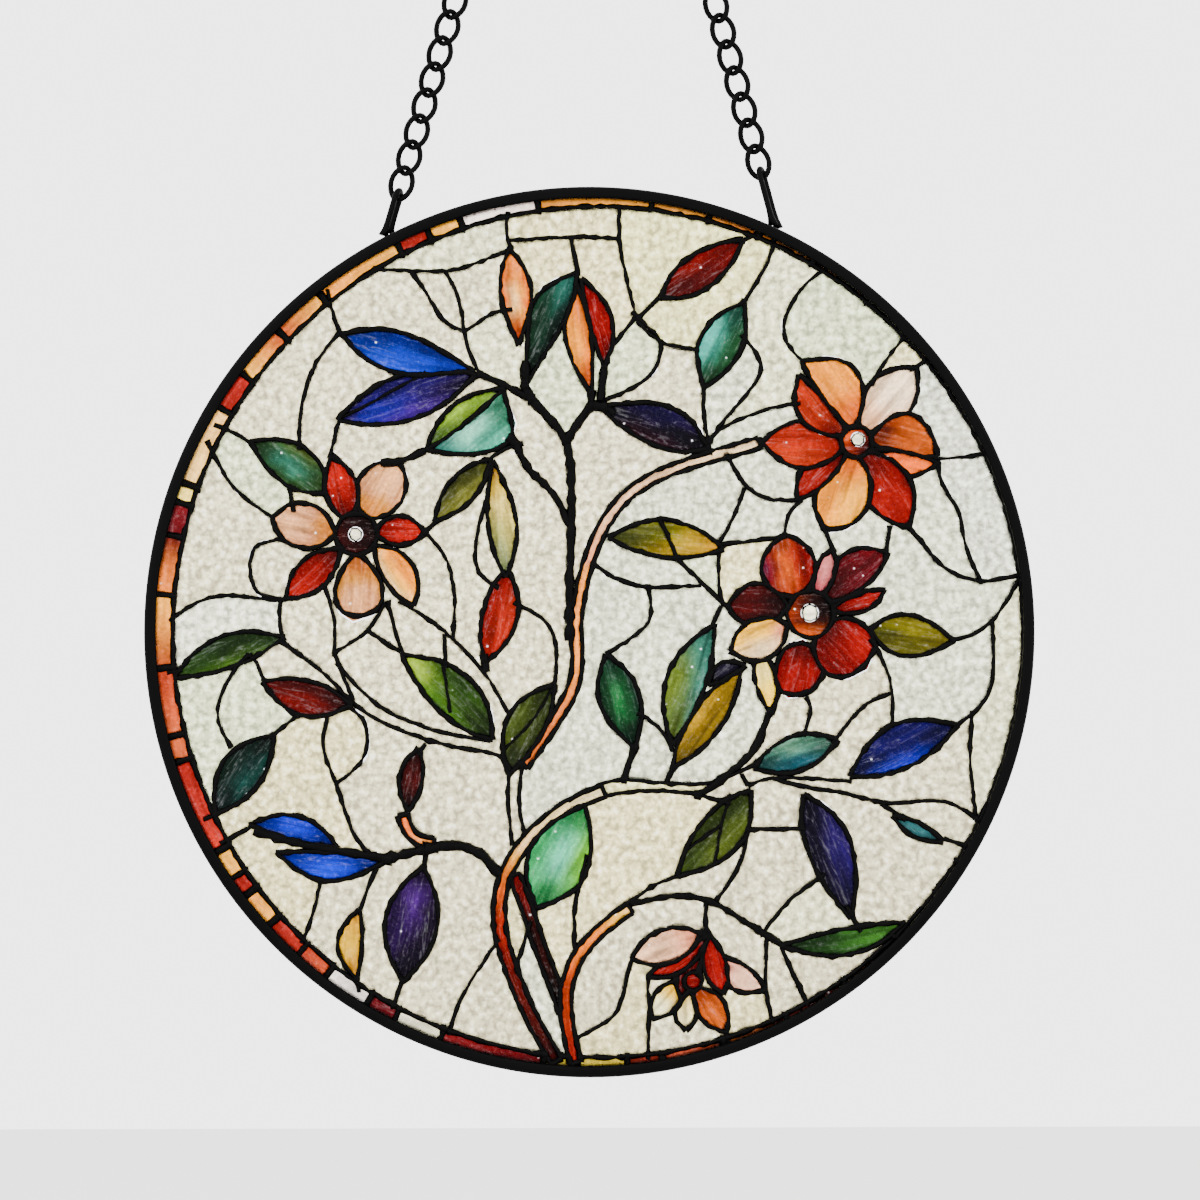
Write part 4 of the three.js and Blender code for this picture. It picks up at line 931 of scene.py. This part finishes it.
# The swell at a route's ends, and the blob at a joint, as shares of the lead's width.
END_SWELL, BLOB_REACH, BLOB_RADIUS = 1.16, 0.42, 0.62


def seam_routes():
    """Chain the seams into routes that run from joint to joint, softened in between."""
    around = {}
    for a, b in SEAMS:
        around.setdefault(a, []).append(b)
        around.setdefault(b, []).append(a)

    def joint(point):
        near = around[point]
        if len(near) != 2:
            return True
        widths = [SEAMS[key_of((point, other))] for other in near]
        first, second = ((VERTS[other] - VERTS[point]).normalized() for other in near)
        return abs(widths[0] - widths[1]) > WIDTH_STEP or first.dot(second) > SHARP_TURN
    used = set()
    routes = []
    for start in [p for p in around if joint(p)] + list(around):
        for step in around[start]:
            key = key_of((start, step))
            if key in used:
                continue
            used.add(key)
            chain = [start, step]
            while not joint(chain[-1]) and chain[-1] != start:
                ahead = next(p for p in around[chain[-1]] if p != chain[-2])
                used.add(key_of((chain[-1], ahead)))
                chain.append(ahead)
            line = [VERTS[p].copy() for p in chain]
            for _ in range(2):
                soft = [(a + 2 * b + c) / 4 for a, b, c in zip(line, line[1:], line[2:])]
                line = [line[0], *soft, line[-1]]
            routes.append((SEAMS[key], line))
    joints = [(VERTS[p], max(SEAMS[key_of((p, other))] for other in around[p]))
              for p in around if len(around[p]) > 2]
    return routes, joints


def leading_tree(material):
    """Lead came: a rounded bead along every seam on both faces, uneven as hand-soldered work is."""
    nodes = geometry_tree('lead came and solder', LEADING_SIZES)
    sizes = nodes.node('NodeGroupInput').outputs
    lines = nodes.add('GeometryNodeMeshToCurve', {'Mesh': sizes['Geometry']})
    spaced = nodes.add('GeometryNodeResampleCurve', {'Curve': lines, 'Length': sizes['Spacing']},
                       mode='LENGTH')
    half_width = nodes.add('GeometryNodeInputNamedAttribute', {'Name': 'half_width'}, data_type='FLOAT')
    wobble = nodes.remap(nodes.clouds(520.0, 3.0)['Fac'], 0.3, 0.7, 0.6, 1.35)
    radius = nodes.calc('MULTIPLY', half_width, wobble)
    sized = nodes.add('GeometryNodeSetCurveRadius', {'Curve': spaced, 'Radius': radius})
    level = nodes.add('GeometryNodeSetCurveNormal', {'Curve': sized}, mode='Z_UP')
    bar = nodes.add('GeometryNodeCurvePrimitiveCircle', {'Resolution': sizes['Sides'], 'Radius': 1.0})
    bead = nodes.add('GeometryNodeCurveToMesh', {'Curve': level, 'Profile Curve': bar, 'Fill Caps': True,
                                                 'Scale': nodes.add('GeometryNodeInputRadius')})
    faces = nodes.node('GeometryNodeJoinGeometry')
    for sign in (1.0, -1.0):
        place = nodes.join(0.0, 0.0, nodes.calc('MULTIPLY', sizes['Bead Offset'], sign))
        nodes.feed(faces.inputs[0], nodes.add('GeometryNodeTransform', {
            'Geometry': bead, 'Translation': place, 'Scale': (1.0, 1.0, 0.95)}))
    rough = nodes.clouds(sizes['Unevenness Scale'], 3.0)['Color']
    centred = nodes.vector('SUBTRACT', rough, (0.5, 0.5, 0.5))
    uneven = nodes.add('GeometryNodeSetPosition', {
        'Geometry': faces.outputs[0], 'Offset': nodes.vector('SCALE', centred, sizes['Unevenness'])})
    down = nodes.join(0.0, 0.0, nodes.calc('MULTIPLY', sizes['Panel Drop'], -1.0))
    upright = nodes.add('GeometryNodeTransform', {
        'Geometry': uneven, 'Translation': down, 'Rotation': (math.pi / 2, 0.0, 0.0)})
    nodes.plain_mesh(nodes.add('GeometryNodeSetShadeSmooth', {'Geometry': upright}), material)
    return nodes.tree


def leading():
    """The lead lattice: its seams as plain lines, each point with half its lead's width."""
    routes, joints = seam_routes()
    points, edges, halves = [], [], []
    for width, line in routes:
        edges += [(len(points) + i, len(points) + i + 1) for i in range(len(line) - 1)]
        points += [(p.x * MM, p.y * MM, 0.0) for p in line]
        ends = (0, len(line) - 1)
        halves += [width / 2 * MM * (END_SWELL if i in ends else 1.0) for i in range(len(line))]
    for spot, width in joints:
        edges.append((len(points), len(points) + 1))
        points += [((spot.x + hand * width * BLOB_REACH) * MM, spot.y * MM, 0.0) for hand in (-1, 1)]
        halves += [width * BLOB_RADIUS * MM] * 2
    mesh = bpy.data.meshes.new('seams')
    mesh.from_pydata(points, edges, [])
    mesh.attributes.new('half_width', 'FLOAT', 'POINT').data.foreach_set('value', halves)
    return run_tree('leading', mesh, leading_tree(LEAD_FINISH))


# ---- rim ----
# Where the strip's two ends meet, how far the lap reaches and sinks, and a shallow step inside.
LAP_ANGLE, LAP_REACH, LAP_EASE, LAP_DEPTH = 43.6, 2.3, 0.5, 0.32
STEP_FROM, STEP_TO, STEP_EASE, STEP_DEPTH = 148, 171, 1.5, 0.12
# At the lap the section spreads by LAP_SPREAD, save its front and back faces, which start at
# FACE_DEPTH. The outside, OUTSIDE_BAND deep, lies in by OUTSIDE_INSET all round.
LAP_SPREAD, FACE_DEPTH, OUTSIDE_BAND, OUTSIDE_INSET = 0.03, 3.9, 0.9, 0.02
RIM_TURNS = 300


def rim_profile():
    """The channel's section, as radius and depth: rounded lips front and back, open inwards."""
    half = RIM_DEPTH / 2
    lip = GLASS / 2 + BEAD + 0.3
    inner, wall = RIM_RADIUS - RIM_LIP, RIM_RADIUS - RIM_WALL
    corners = [(inner, -half, 0.7), (RIM_RADIUS, -half, 1.1), (RIM_RADIUS, half, 1.1), (inner, half, 0.7),
               (inner, lip, 0.3), (wall, lip, 0.1), (wall, -lip, 0.1), (inner, -lip, 0.3)]
    points = []
    for i, (r, w, cut) in enumerate(corners):
        here = Vector((r, w))
        before = Vector(corners[i - 1][:2])
        after = Vector(corners[(i + 1) % len(corners)][:2])
        start = here + (before - here).normalized() * cut
        end = here + (after - here).normalized() * cut
        steps = 4 if cut > 0.5 else 2
        for k in range(steps + 1):
            t = k / steps
            points.append(start * (1 - t) ** 2 + here * 2 * t * (1 - t) + end * t * t)
    return points


def rim():
    """The rim turned about the panel's middle, a little uneven inside, with its soldered lap."""
    bm = bmesh.new()
    profile = rim_profile()
    rings = []
    for i in range(RIM_TURNS):
        angle = 360.0 * i / RIM_TURNS
        lap = clamp((LAP_REACH - abs(angle - LAP_ANGLE)) / LAP_EASE)
        step = STEP_DEPTH * clamp((angle - STEP_FROM) / STEP_EASE) * (angle < STEP_TO)
        sway = 0.05 * math.sin(math.radians(angle * 5)) + 0.04 * math.sin(math.radians(angle * 11 + 40))
        way = direction(angle)
        ring = []
        for r, w in profile:
            within = r < RIM_RADIUS - OUTSIDE_BAND
            radius = r + (sway - lap * LAP_DEPTH - step if within else -OUTSIDE_INSET)
            depth = w * (1 + LAP_SPREAD * lap) if abs(w) < FACE_DEPTH else w
            ring.append(bm.verts.new(stand(way.x * radius, way.y * radius, depth)))
        rings.append(ring)
    for first, second in zip(rings, rings[1:] + rings[:1]):
        join_rings(bm, first, second)
    bmesh.ops.recalc_face_normals(bm, faces=bm.faces)
    return new_object('rim', bm, RIM_FINISH)


# ---- chain and hanging eyes ----
LINK_LENGTH, LINK_WIDTH, LINK_WIRE = 8.75, 6.0, 1.28
LINK_TWIST = math.radians(30)
LINK_PITCH = 0.985 * (LINK_LENGTH - 2 * LINK_WIRE)
WIRE_REACH = (LINK_LENGTH - LINK_WIRE) / 2
LINK_SIZES = {'Length': (LINK_LENGTH - LINK_WIRE) * MM, 'Width': (LINK_WIDTH - LINK_WIRE) * MM,
              'Wire': LINK_WIRE * MM, 'Twist': LINK_TWIST, 'Around': 22, 'Sides': 7}
# The middle link lies across, and the two strands hook on to it out and below its centre.
TOP_CENTRE = Vector((0, 0, -(LINK_WIDTH / 2 - LINK_WIRE)))
TOP_LINK_DROP = 0.34
HOOK_OUT, HOOK_BELOW = 3.6, 1.2
EYE_WIDTH, EYE_WIRE, EYE_TURN = 4.6, 1.32, math.radians(70)
EYE_PLAY = 0.15
# Solder at an eye's feet: how much thicker the wire's last and last but one points are.
SOLDER, SOLDER_EASE = 0.55, 0.12
# Each strand: its side, where round the rim its eye stands, and how many links it has.
STRANDS = [('left', 117.3, 23), ('right', 65.2, 22)]


def link_tree(material):
    """Curb links: one twisted oval of wire at every point, turned as the point says."""
    nodes = geometry_tree('curb chain links', LINK_SIZES)
    sizes = nodes.node('NodeGroupInput').outputs
    hoop = nodes.add('GeometryNodeCurvePrimitiveCircle', {'Resolution': sizes['Around'], 'Radius': 1.0})
    spot = nodes.node('ShaderNodeSeparateXYZ', {0: nodes.add('GeometryNodeInputPosition')}).outputs
    angle = nodes.calc('MULTIPLY', sizes['Twist'], spot[1])
    across = nodes.calc('MULTIPLY', nodes.calc('MULTIPLY', spot[0], sizes['Width']), 0.5)
    along = nodes.calc('MULTIPLY', nodes.calc('MULTIPLY', spot[1], sizes['Length']), 0.5)
    level = nodes.calc('MULTIPLY', across, nodes.calc('COSINE', angle))
    rise = nodes.calc('MULTIPLY', across, nodes.calc('SINE', angle))
    place = nodes.join(level, along, nodes.calc('MULTIPLY', rise, -1.0))
    oval = nodes.add('GeometryNodeSetPosition', {'Geometry': hoop, 'Position': place})
    bar = nodes.add('GeometryNodeCurvePrimitiveCircle', {
        'Resolution': sizes['Sides'], 'Radius': nodes.calc('MULTIPLY', sizes['Wire'], 0.5)})
    link = nodes.add('GeometryNodeCurveToMesh', {'Curve': oval, 'Profile Curve': bar})
    soft = nodes.add('GeometryNodeSetShadeSmooth', {'Geometry': link})
    facing = nodes.add('GeometryNodeInputNamedAttribute', {'Name': 'facing'}, data_type='FLOAT_VECTOR')
    nodes.plain_mesh(nodes.add('GeometryNodeInstanceOnPoints', {
        'Points': sizes['Geometry'], 'Instance': soft, 'Rotation': facing}), material)
    return nodes.tree


def link_points(places):
    """A mesh of loose points, each with the turn of the link that sits on it."""
    mesh = bpy.data.meshes.new('link places')
    mesh.from_pydata([tuple(centre * MM) for centre, _ in places], [], [])
    turns = mesh.attributes.new('facing', 'FLOAT_VECTOR', 'POINT')
    front = Vector((0, -1, 0))
    for i, (_, along) in enumerate(places):
        turns.data[i].vector = tuple(Matrix((along.cross(front), along, front)).transposed().to_euler())
    return mesh


def strand(rim_angle, links):
    """Where a strand's eye stands, which way it runs, its links, and how long its eye is."""
    angle = math.radians(rim_angle)
    foot = Vector((RIM_RADIUS * math.cos(angle), 0, RIM_RADIUS * math.sin(angle) - PANEL_DROP))
    start = TOP_CENTRE + Vector((math.copysign(HOOK_OUT, foot.x), 0, -HOOK_BELOW))
    down = (foot - start).normalized()
    places = [(start + down * (WIRE_REACH + i * LINK_PITCH), -down) for i in range(links)]
    chained = 2 * WIRE_REACH + (links - 1) * LINK_PITCH
    return foot, down, places, (foot - start).length - chained + LINK_WIRE + EYE_WIRE / 2 + EYE_PLAY


def sweep(bm, route, radii, sides=12):
    """A closed round bar along a route of points in millimetres."""
    rings = []
    side = None
    for i, point in enumerate(route):
        run = (route[min(i + 1, len(route) - 1)] - route[max(i - 1, 0)]).normalized()
        side = run.orthogonal().normalized() if side is None else (side - run * side.dot(run)).normalized()
        other = run.cross(side)
        rings.append([bm.verts.new((point + (side * math.cos(a) + other * math.sin(a)) * radii[i]) * MM)
                      for a in (2 * math.pi * k / sides for k in range(sides))])
    for first, second in zip(rings, rings[1:]):
        join_rings(bm, first, second)
    bm.faces.new(rings[0][::-1])
    bm.faces.new(rings[-1])


def hanging_eye(side, foot, down, length):
    """A narrow wire loop soldered to the rim, with a small mound of solder at each leg."""
    half = (EYE_WIDTH - EYE_WIRE) / 2
    up = -down
    turn = Vector((math.cos(EYE_TURN), math.sin(EYE_TURN), 0))
    across = (turn - up * turn.dot(up)).normalized()
    radial = Vector((foot.x, 0, foot.z + PANEL_DROP)).normalized()

    def leg(hand):
        offset = across * (hand * half)
        height = -offset.dot(radial) / up.dot(radial) + EYE_WIRE * 0.35
        return foot + offset + up * height
    rise = length - half
    arc = [foot + across * (half * math.cos(a)) + up * (rise + half * math.sin(a))
           for a in (math.pi * i / 14 for i in range(15))]
    first = [leg(1).lerp(arc[0], t / 6) for t in range(6)]
    last = [arc[-1].lerp(leg(-1), t / 6) for t in range(1, 7)]
    route = first + arc + last
    radii = [EYE_WIRE / 2] * len(route)
    for i, extra in ((0, SOLDER), (1, SOLDER_EASE), (-1, SOLDER), (-2, SOLDER_EASE)):
        radii[i] += extra
    bm = bmesh.new()
    sweep(bm, route, radii)
    return new_object('hanging_eye_' + side, bm, CHAIN_FINISH)


# ---- finishes ----
# A low index keeps surface glare off the tints, and a low shine keeps black metal black.
GLASS_IOR = 1.12
DULL_SHINE = 0.03
# How deep the bumps of a face go, in metres.
GLASS_RELIEF, METAL_RELIEF = 0.0004, 0.0002
# Of the glass values, the fleck and glint ones set painted highlights, and the shade one sets painted
# shade on the grains.
GLASS_VALUES = ('Streak', 'Streak Width', 'Fleck', 'Grain', 'Mottle', 'Shade', 'Depth', 'Vein', 'Glint')
METAL_VALUES = ('Patch Scale', 'Grain Scale', 'Contrast')


def shader_group(name, values, results):
    """A shader node group with named number inputs and named outputs."""
    tree = bpy.data.node_groups.new(name, 'ShaderNodeTree')
    for label in values:
        tree.interface.new_socket(label, in_out='INPUT', socket_type='NodeSocketFloat')
    for label, kind in results.items():
        tree.interface.new_socket(label, in_out='OUTPUT', socket_type='NodeSocket' + kind)
    return Nodes(tree)


def streaky_glass_group():
    """Hand-rolled glass: the pane's own tint in long streaks, on a granular face whose light is painted
    into the colour: darker grains as painted shade, light flecks and a few glints as painted highlights.
    """
    nodes = shader_group('streaky rolled glass', GLASS_VALUES,
                         {'Colour': 'Color', 'Roughness': 'Float', 'Height': 'Float'})
    values = nodes.node('NodeGroupInput').outputs
    place = nodes.node('ShaderNodeTexCoord').outputs['Object']
    through = nodes.vector('MULTIPLY', place, (1.0, 0.0, 1.0))
    run = nodes.node('ShaderNodeAttribute', attribute_name='grain_run').outputs['Vector']
    tint = nodes.add('ShaderNodeAttribute', attribute_name='glass_tint')
    tint = nodes.add('ShaderNodeGamma', {'Color': tint, 'Gamma': values['Depth']})

    # Long streaks along the grain, and soft patches: each makes the tint lighter and darker.
    along = nodes.vector('MULTIPLY', run, nodes.join(0.055, values['Streak Width'], 1.0))
    streak = nodes.clouds(1.0, 4.0, Vector=along, Roughness=0.6, Distortion=0.6)['Fac']
    lift = nodes.remap(streak, 0.3, 0.7, -1.0, 1.0)
    patches = nodes.clouds(160.0, 3.0, Vector=through, Roughness=0.6)['Fac']
    patch = nodes.remap(patches, 0.3, 0.7, -1.0, 1.0)
    both = nodes.calc('MULTIPLY', nodes.calc('MULTIPLY_ADD', lift, values['Streak'], 1.0),
                      nodes.calc('MULTIPLY_ADD', patch, values['Mottle'], 1.0))
    shaded = nodes.vector('SCALE', tint, both)

    # The granular face: grains give real bumps and roughness; in the colour they are painted shade that
    # darkens the tint, with bright flecks between them as painted highlights, standing in for light
    # through the rough face.
    seeds = nodes.clouds(values['Grain'], 5.0, Vector=through, Roughness=0.68)['Fac']
    grain = nodes.remap(seeds, 0.4, 0.58)
    painted_grain_shade = nodes.remap(grain, to_low=values['Shade'], to_high=0.0)
    shaded = nodes.vector('SCALE', shaded, nodes.calc('SUBTRACT', 1.0, painted_grain_shade))
    fleck = nodes.calc('MULTIPLY', nodes.remap(seeds, 0.56, 0.72), values['Fleck'])

    # Fine light veins where the streaks cross one level, which are the glass's own colour, and a few
    # painted glints: small white spots of painted highlight.
    gap = nodes.calc('ABSOLUTE', nodes.calc('SUBTRACT', streak, 0.53))
    vein = nodes.remap(gap, 0.0, 0.014, 1.0, 0.0)
    veined = nodes.calc('MULTIPLY_ADD', vein, values['Vein'], fleck)
    painted_glints = nodes.node('ShaderNodeTexVoronoi', {'Vector': through, 'Scale': 520.0}).outputs
    pick = nodes.add('ShaderNodeSeparateColor', {0: painted_glints['Color']})
    lit = nodes.calc('MULTIPLY', nodes.remap(painted_glints['Distance'], 0.09, 0.15, 1.0, 0.0),
                     nodes.calc('GREATER_THAN', pick, 0.9))
    white = nodes.calc('MULTIPLY_ADD', lit, values['Glint'], veined, use_clamp=True)
    nodes.put_out({'Colour': nodes.mix(white, shaded, (1.0, 1.0, 1.0, 1.0)),
                   'Roughness': nodes.remap(grain, to_low=0.5, to_high=0.24),
                   'Height': nodes.calc('MULTIPLY_ADD', patches, 1.2, grain)})
    return nodes.tree


def worn_metal_group():
    """Worn dark metal, also used dull and pale: patches between two tones and a fine grain."""
    nodes = shader_group('dark worn metal', METAL_VALUES,
                         {'Mask': 'Float', 'Roughness': 'Float', 'Height': 'Float'})
    values = nodes.node('NodeGroupInput').outputs
    place = nodes.node('ShaderNodeTexCoord').outputs['Object']
    patches = nodes.clouds(values['Patch Scale'], 5.0, Vector=place)['Fac']
    grain = nodes.clouds(values['Grain Scale'], 2.0, Vector=place)['Fac']
    nodes.put_out({'Mask': nodes.calc('MULTIPLY', nodes.remap(patches, 0.38, 0.68), values['Contrast']),
                   'Roughness': nodes.remap(patches, 0.3, 0.7, 0.34, 0.6),
                   'Height': nodes.calc('ADD', patches, grain)})
    return nodes.tree


GLASS_GROUP = streaky_glass_group()
METAL_GROUP = worn_metal_group()


def material_with(name, group, values, plain, bump_distance, bump_strength):
    """A material round one Principled shader, its changing values from a shared group.

    A value such as streak_width goes into the group's input Streak Width.
    """
    made = bpy.data.materials.new(name)
    made.use_nodes = True
    made.node_tree.nodes.clear()
    nodes = Nodes(made.node_tree)
    source = nodes.node('ShaderNodeGroup', node_tree=group)
    for key, value in values.items():
        source.inputs[key.replace('_', ' ').title()].default_value = value
    bump = nodes.add('ShaderNodeBump', {'Height': source.outputs['Height'], 'Distance': bump_distance,
                                        'Strength': bump_strength})
    shader = nodes.node('ShaderNodeBsdfPrincipled', {'Roughness': source.outputs['Roughness'],
                                                     'Normal': bump, **plain})
    nodes.node('ShaderNodeOutputMaterial', {0: shader.outputs[0]})
    return made, nodes, source, shader


def glass(name, transmission, bump, **values):
    made, nodes, source, shader = material_with(
        name, GLASS_GROUP, values, {'Transmission Weight': transmission, 'IOR': GLASS_IOR},
        GLASS_RELIEF, bump)
    nodes.feed(shader.inputs['Base Color'], source.outputs['Colour'])
    return made


def dull_finish(name, low, high, bump, **values):
    made, nodes, source, shader = material_with(
        name, METAL_GROUP, values, {'Metallic': 0.0, 'Specular IOR Level': DULL_SHINE},
        METAL_RELIEF, bump)
    ends = [(*colour(end), 1.0) for end in (low, high)]
    nodes.feed(shader.inputs['Base Color'], nodes.mix(source.outputs['Mask'], *ends))
    return made


# In each glass finish, fleck and glint set how strong the painted highlights are, and shade how strong the
# painted shade of the grains is.
STREAKY = glass(
    'streaky coloured glass', transmission=0.96, bump=0.5, streak=0.55, streak_width=0.6,
    fleck=0.03, grain=1300.0, mottle=0.3, shade=0.3, depth=1.68, vein=0.06, glint=0.8)
GRANULAR = glass(
    'granular cream glass', transmission=0.97, bump=1.0, streak=0.05, streak_width=0.25,
    fleck=0.85, grain=620.0, mottle=0.12, shade=0.66, depth=1.2, vein=0.0, glint=0.5)
BORDER_FINISH = glass(
    'rolled border glass', transmission=0.96, bump=0.5, streak=0.35, streak_width=0.6,
    fleck=0.04, grain=1200.0, mottle=0.3, shade=0.3, depth=1.2, vein=0.04, glint=0.4)
LEAD_FINISH = dull_finish('dark patinated lead', '010101', '060505', bump=0.7,
                          patch_scale=260.0, grain_scale=1800.0, contrast=0.7)
RIM_FINISH = dull_finish('satin black rim', '010101', '040405', bump=0.3,
                         patch_scale=60.0, grain_scale=1200.0, contrast=0.5)
CHAIN_FINISH = dull_finish('black chain wire', '010101', '050506', bump=0.3,
                           patch_scale=300.0, grain_scale=1500.0, contrast=0.6)
FLOOR_FINISH = dull_finish('pale floor', 'd8d6d2', 'e2e0dc', bump=0.1,
                           patch_scale=3.0, grain_scale=60.0, contrast=0.5)


def hand_over(piece, *nodes):
    """A finished piece rides with the object and stands for its CAD nodes."""
    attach(piece, 'root')
    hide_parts(*nodes)


for node, piece in build_glass().items():
    hand_over(piece, node)
hand_over(leading(), 'leading')
hand_over(rim(), 'rim')

LINKS = link_tree(CHAIN_FINISH)
for side, rim_angle, count in STRANDS:
    foot, down, places, eye_length = strand(rim_angle, count)
    hand_over(run_tree('strand_' + side, link_points(places), LINKS), 'chain_' + side)
    hand_over(hanging_eye(side, foot, down, eye_length), 'hanging_eye_' + side)
top_place = (TOP_CENTRE - Vector((0, 0, TOP_LINK_DROP)), Vector((1, 0, 0)))
hand_over(run_tree('middle_link', link_points([top_place]), LINKS), 'chain_top_link')

# ---- floor, light and camera ----
FLOOR_DROP = 0.17
FLOOR_SIZE = 1.6
STUDIO_COLOUR, STUDIO_STRENGTH = (0.97, 0.97, 1.0, 1.0), 4.0
# Lamps: name, place, power in watts, size.
LAMPS = [('key', (-0.8, -1.3, 0.5), 9, 0.9), ('fill', (1.0, -1.0, -0.1), 3, 1.0)]
LAMP_AIM = Vector((0, 0, -0.2))
AIM = Vector((2.25, 0, -228.8)) * MM
CAMERA_DISTANCE, CAMERA_TURN, CAMERA_LENS = 1.2, math.radians(-1.5), 160.0


def look_at(thing, place, aim):
    thing.location = place
    thing.rotation_euler = (aim - Vector(place)).to_track_quat('-Z', 'Y').to_euler()


floor_bm = bmesh.new()
bmesh.ops.create_grid(floor_bm, x_segments=2, y_segments=2, size=FLOOR_SIZE)
floor_height = -(PANEL_DROP + RIM_RADIUS) * MM - FLOOR_DROP
bmesh.ops.translate(floor_bm, verts=floor_bm.verts, vec=(0, 0, floor_height))
floor = new_object('floor', floor_bm, FLOOR_FINISH)

world = bpy.data.worlds.new('pale studio')
bpy.context.scene.world = world
world.use_nodes = True
world.node_tree.nodes['Background'].inputs['Color'].default_value = STUDIO_COLOUR
world.node_tree.nodes['Background'].inputs['Strength'].default_value = STUDIO_STRENGTH

for name, place, power, size in LAMPS:
    light = bpy.data.lights.new(name, 'AREA')
    light.energy = power
    light.size = size
    look_at(linked(name, light), place, LAMP_AIM)

camera_data = bpy.data.cameras.new('camera')
camera_data.sensor_width = 36.0
camera_data.lens = CAMERA_LENS
camera = linked('camera', camera_data)
look_at(camera, AIM + Matrix.Rotation(CAMERA_TURN, 3, 'Z') @ Vector((0, -CAMERA_DISTANCE, 0)), AIM)
bpy.context.scene.camera = camera
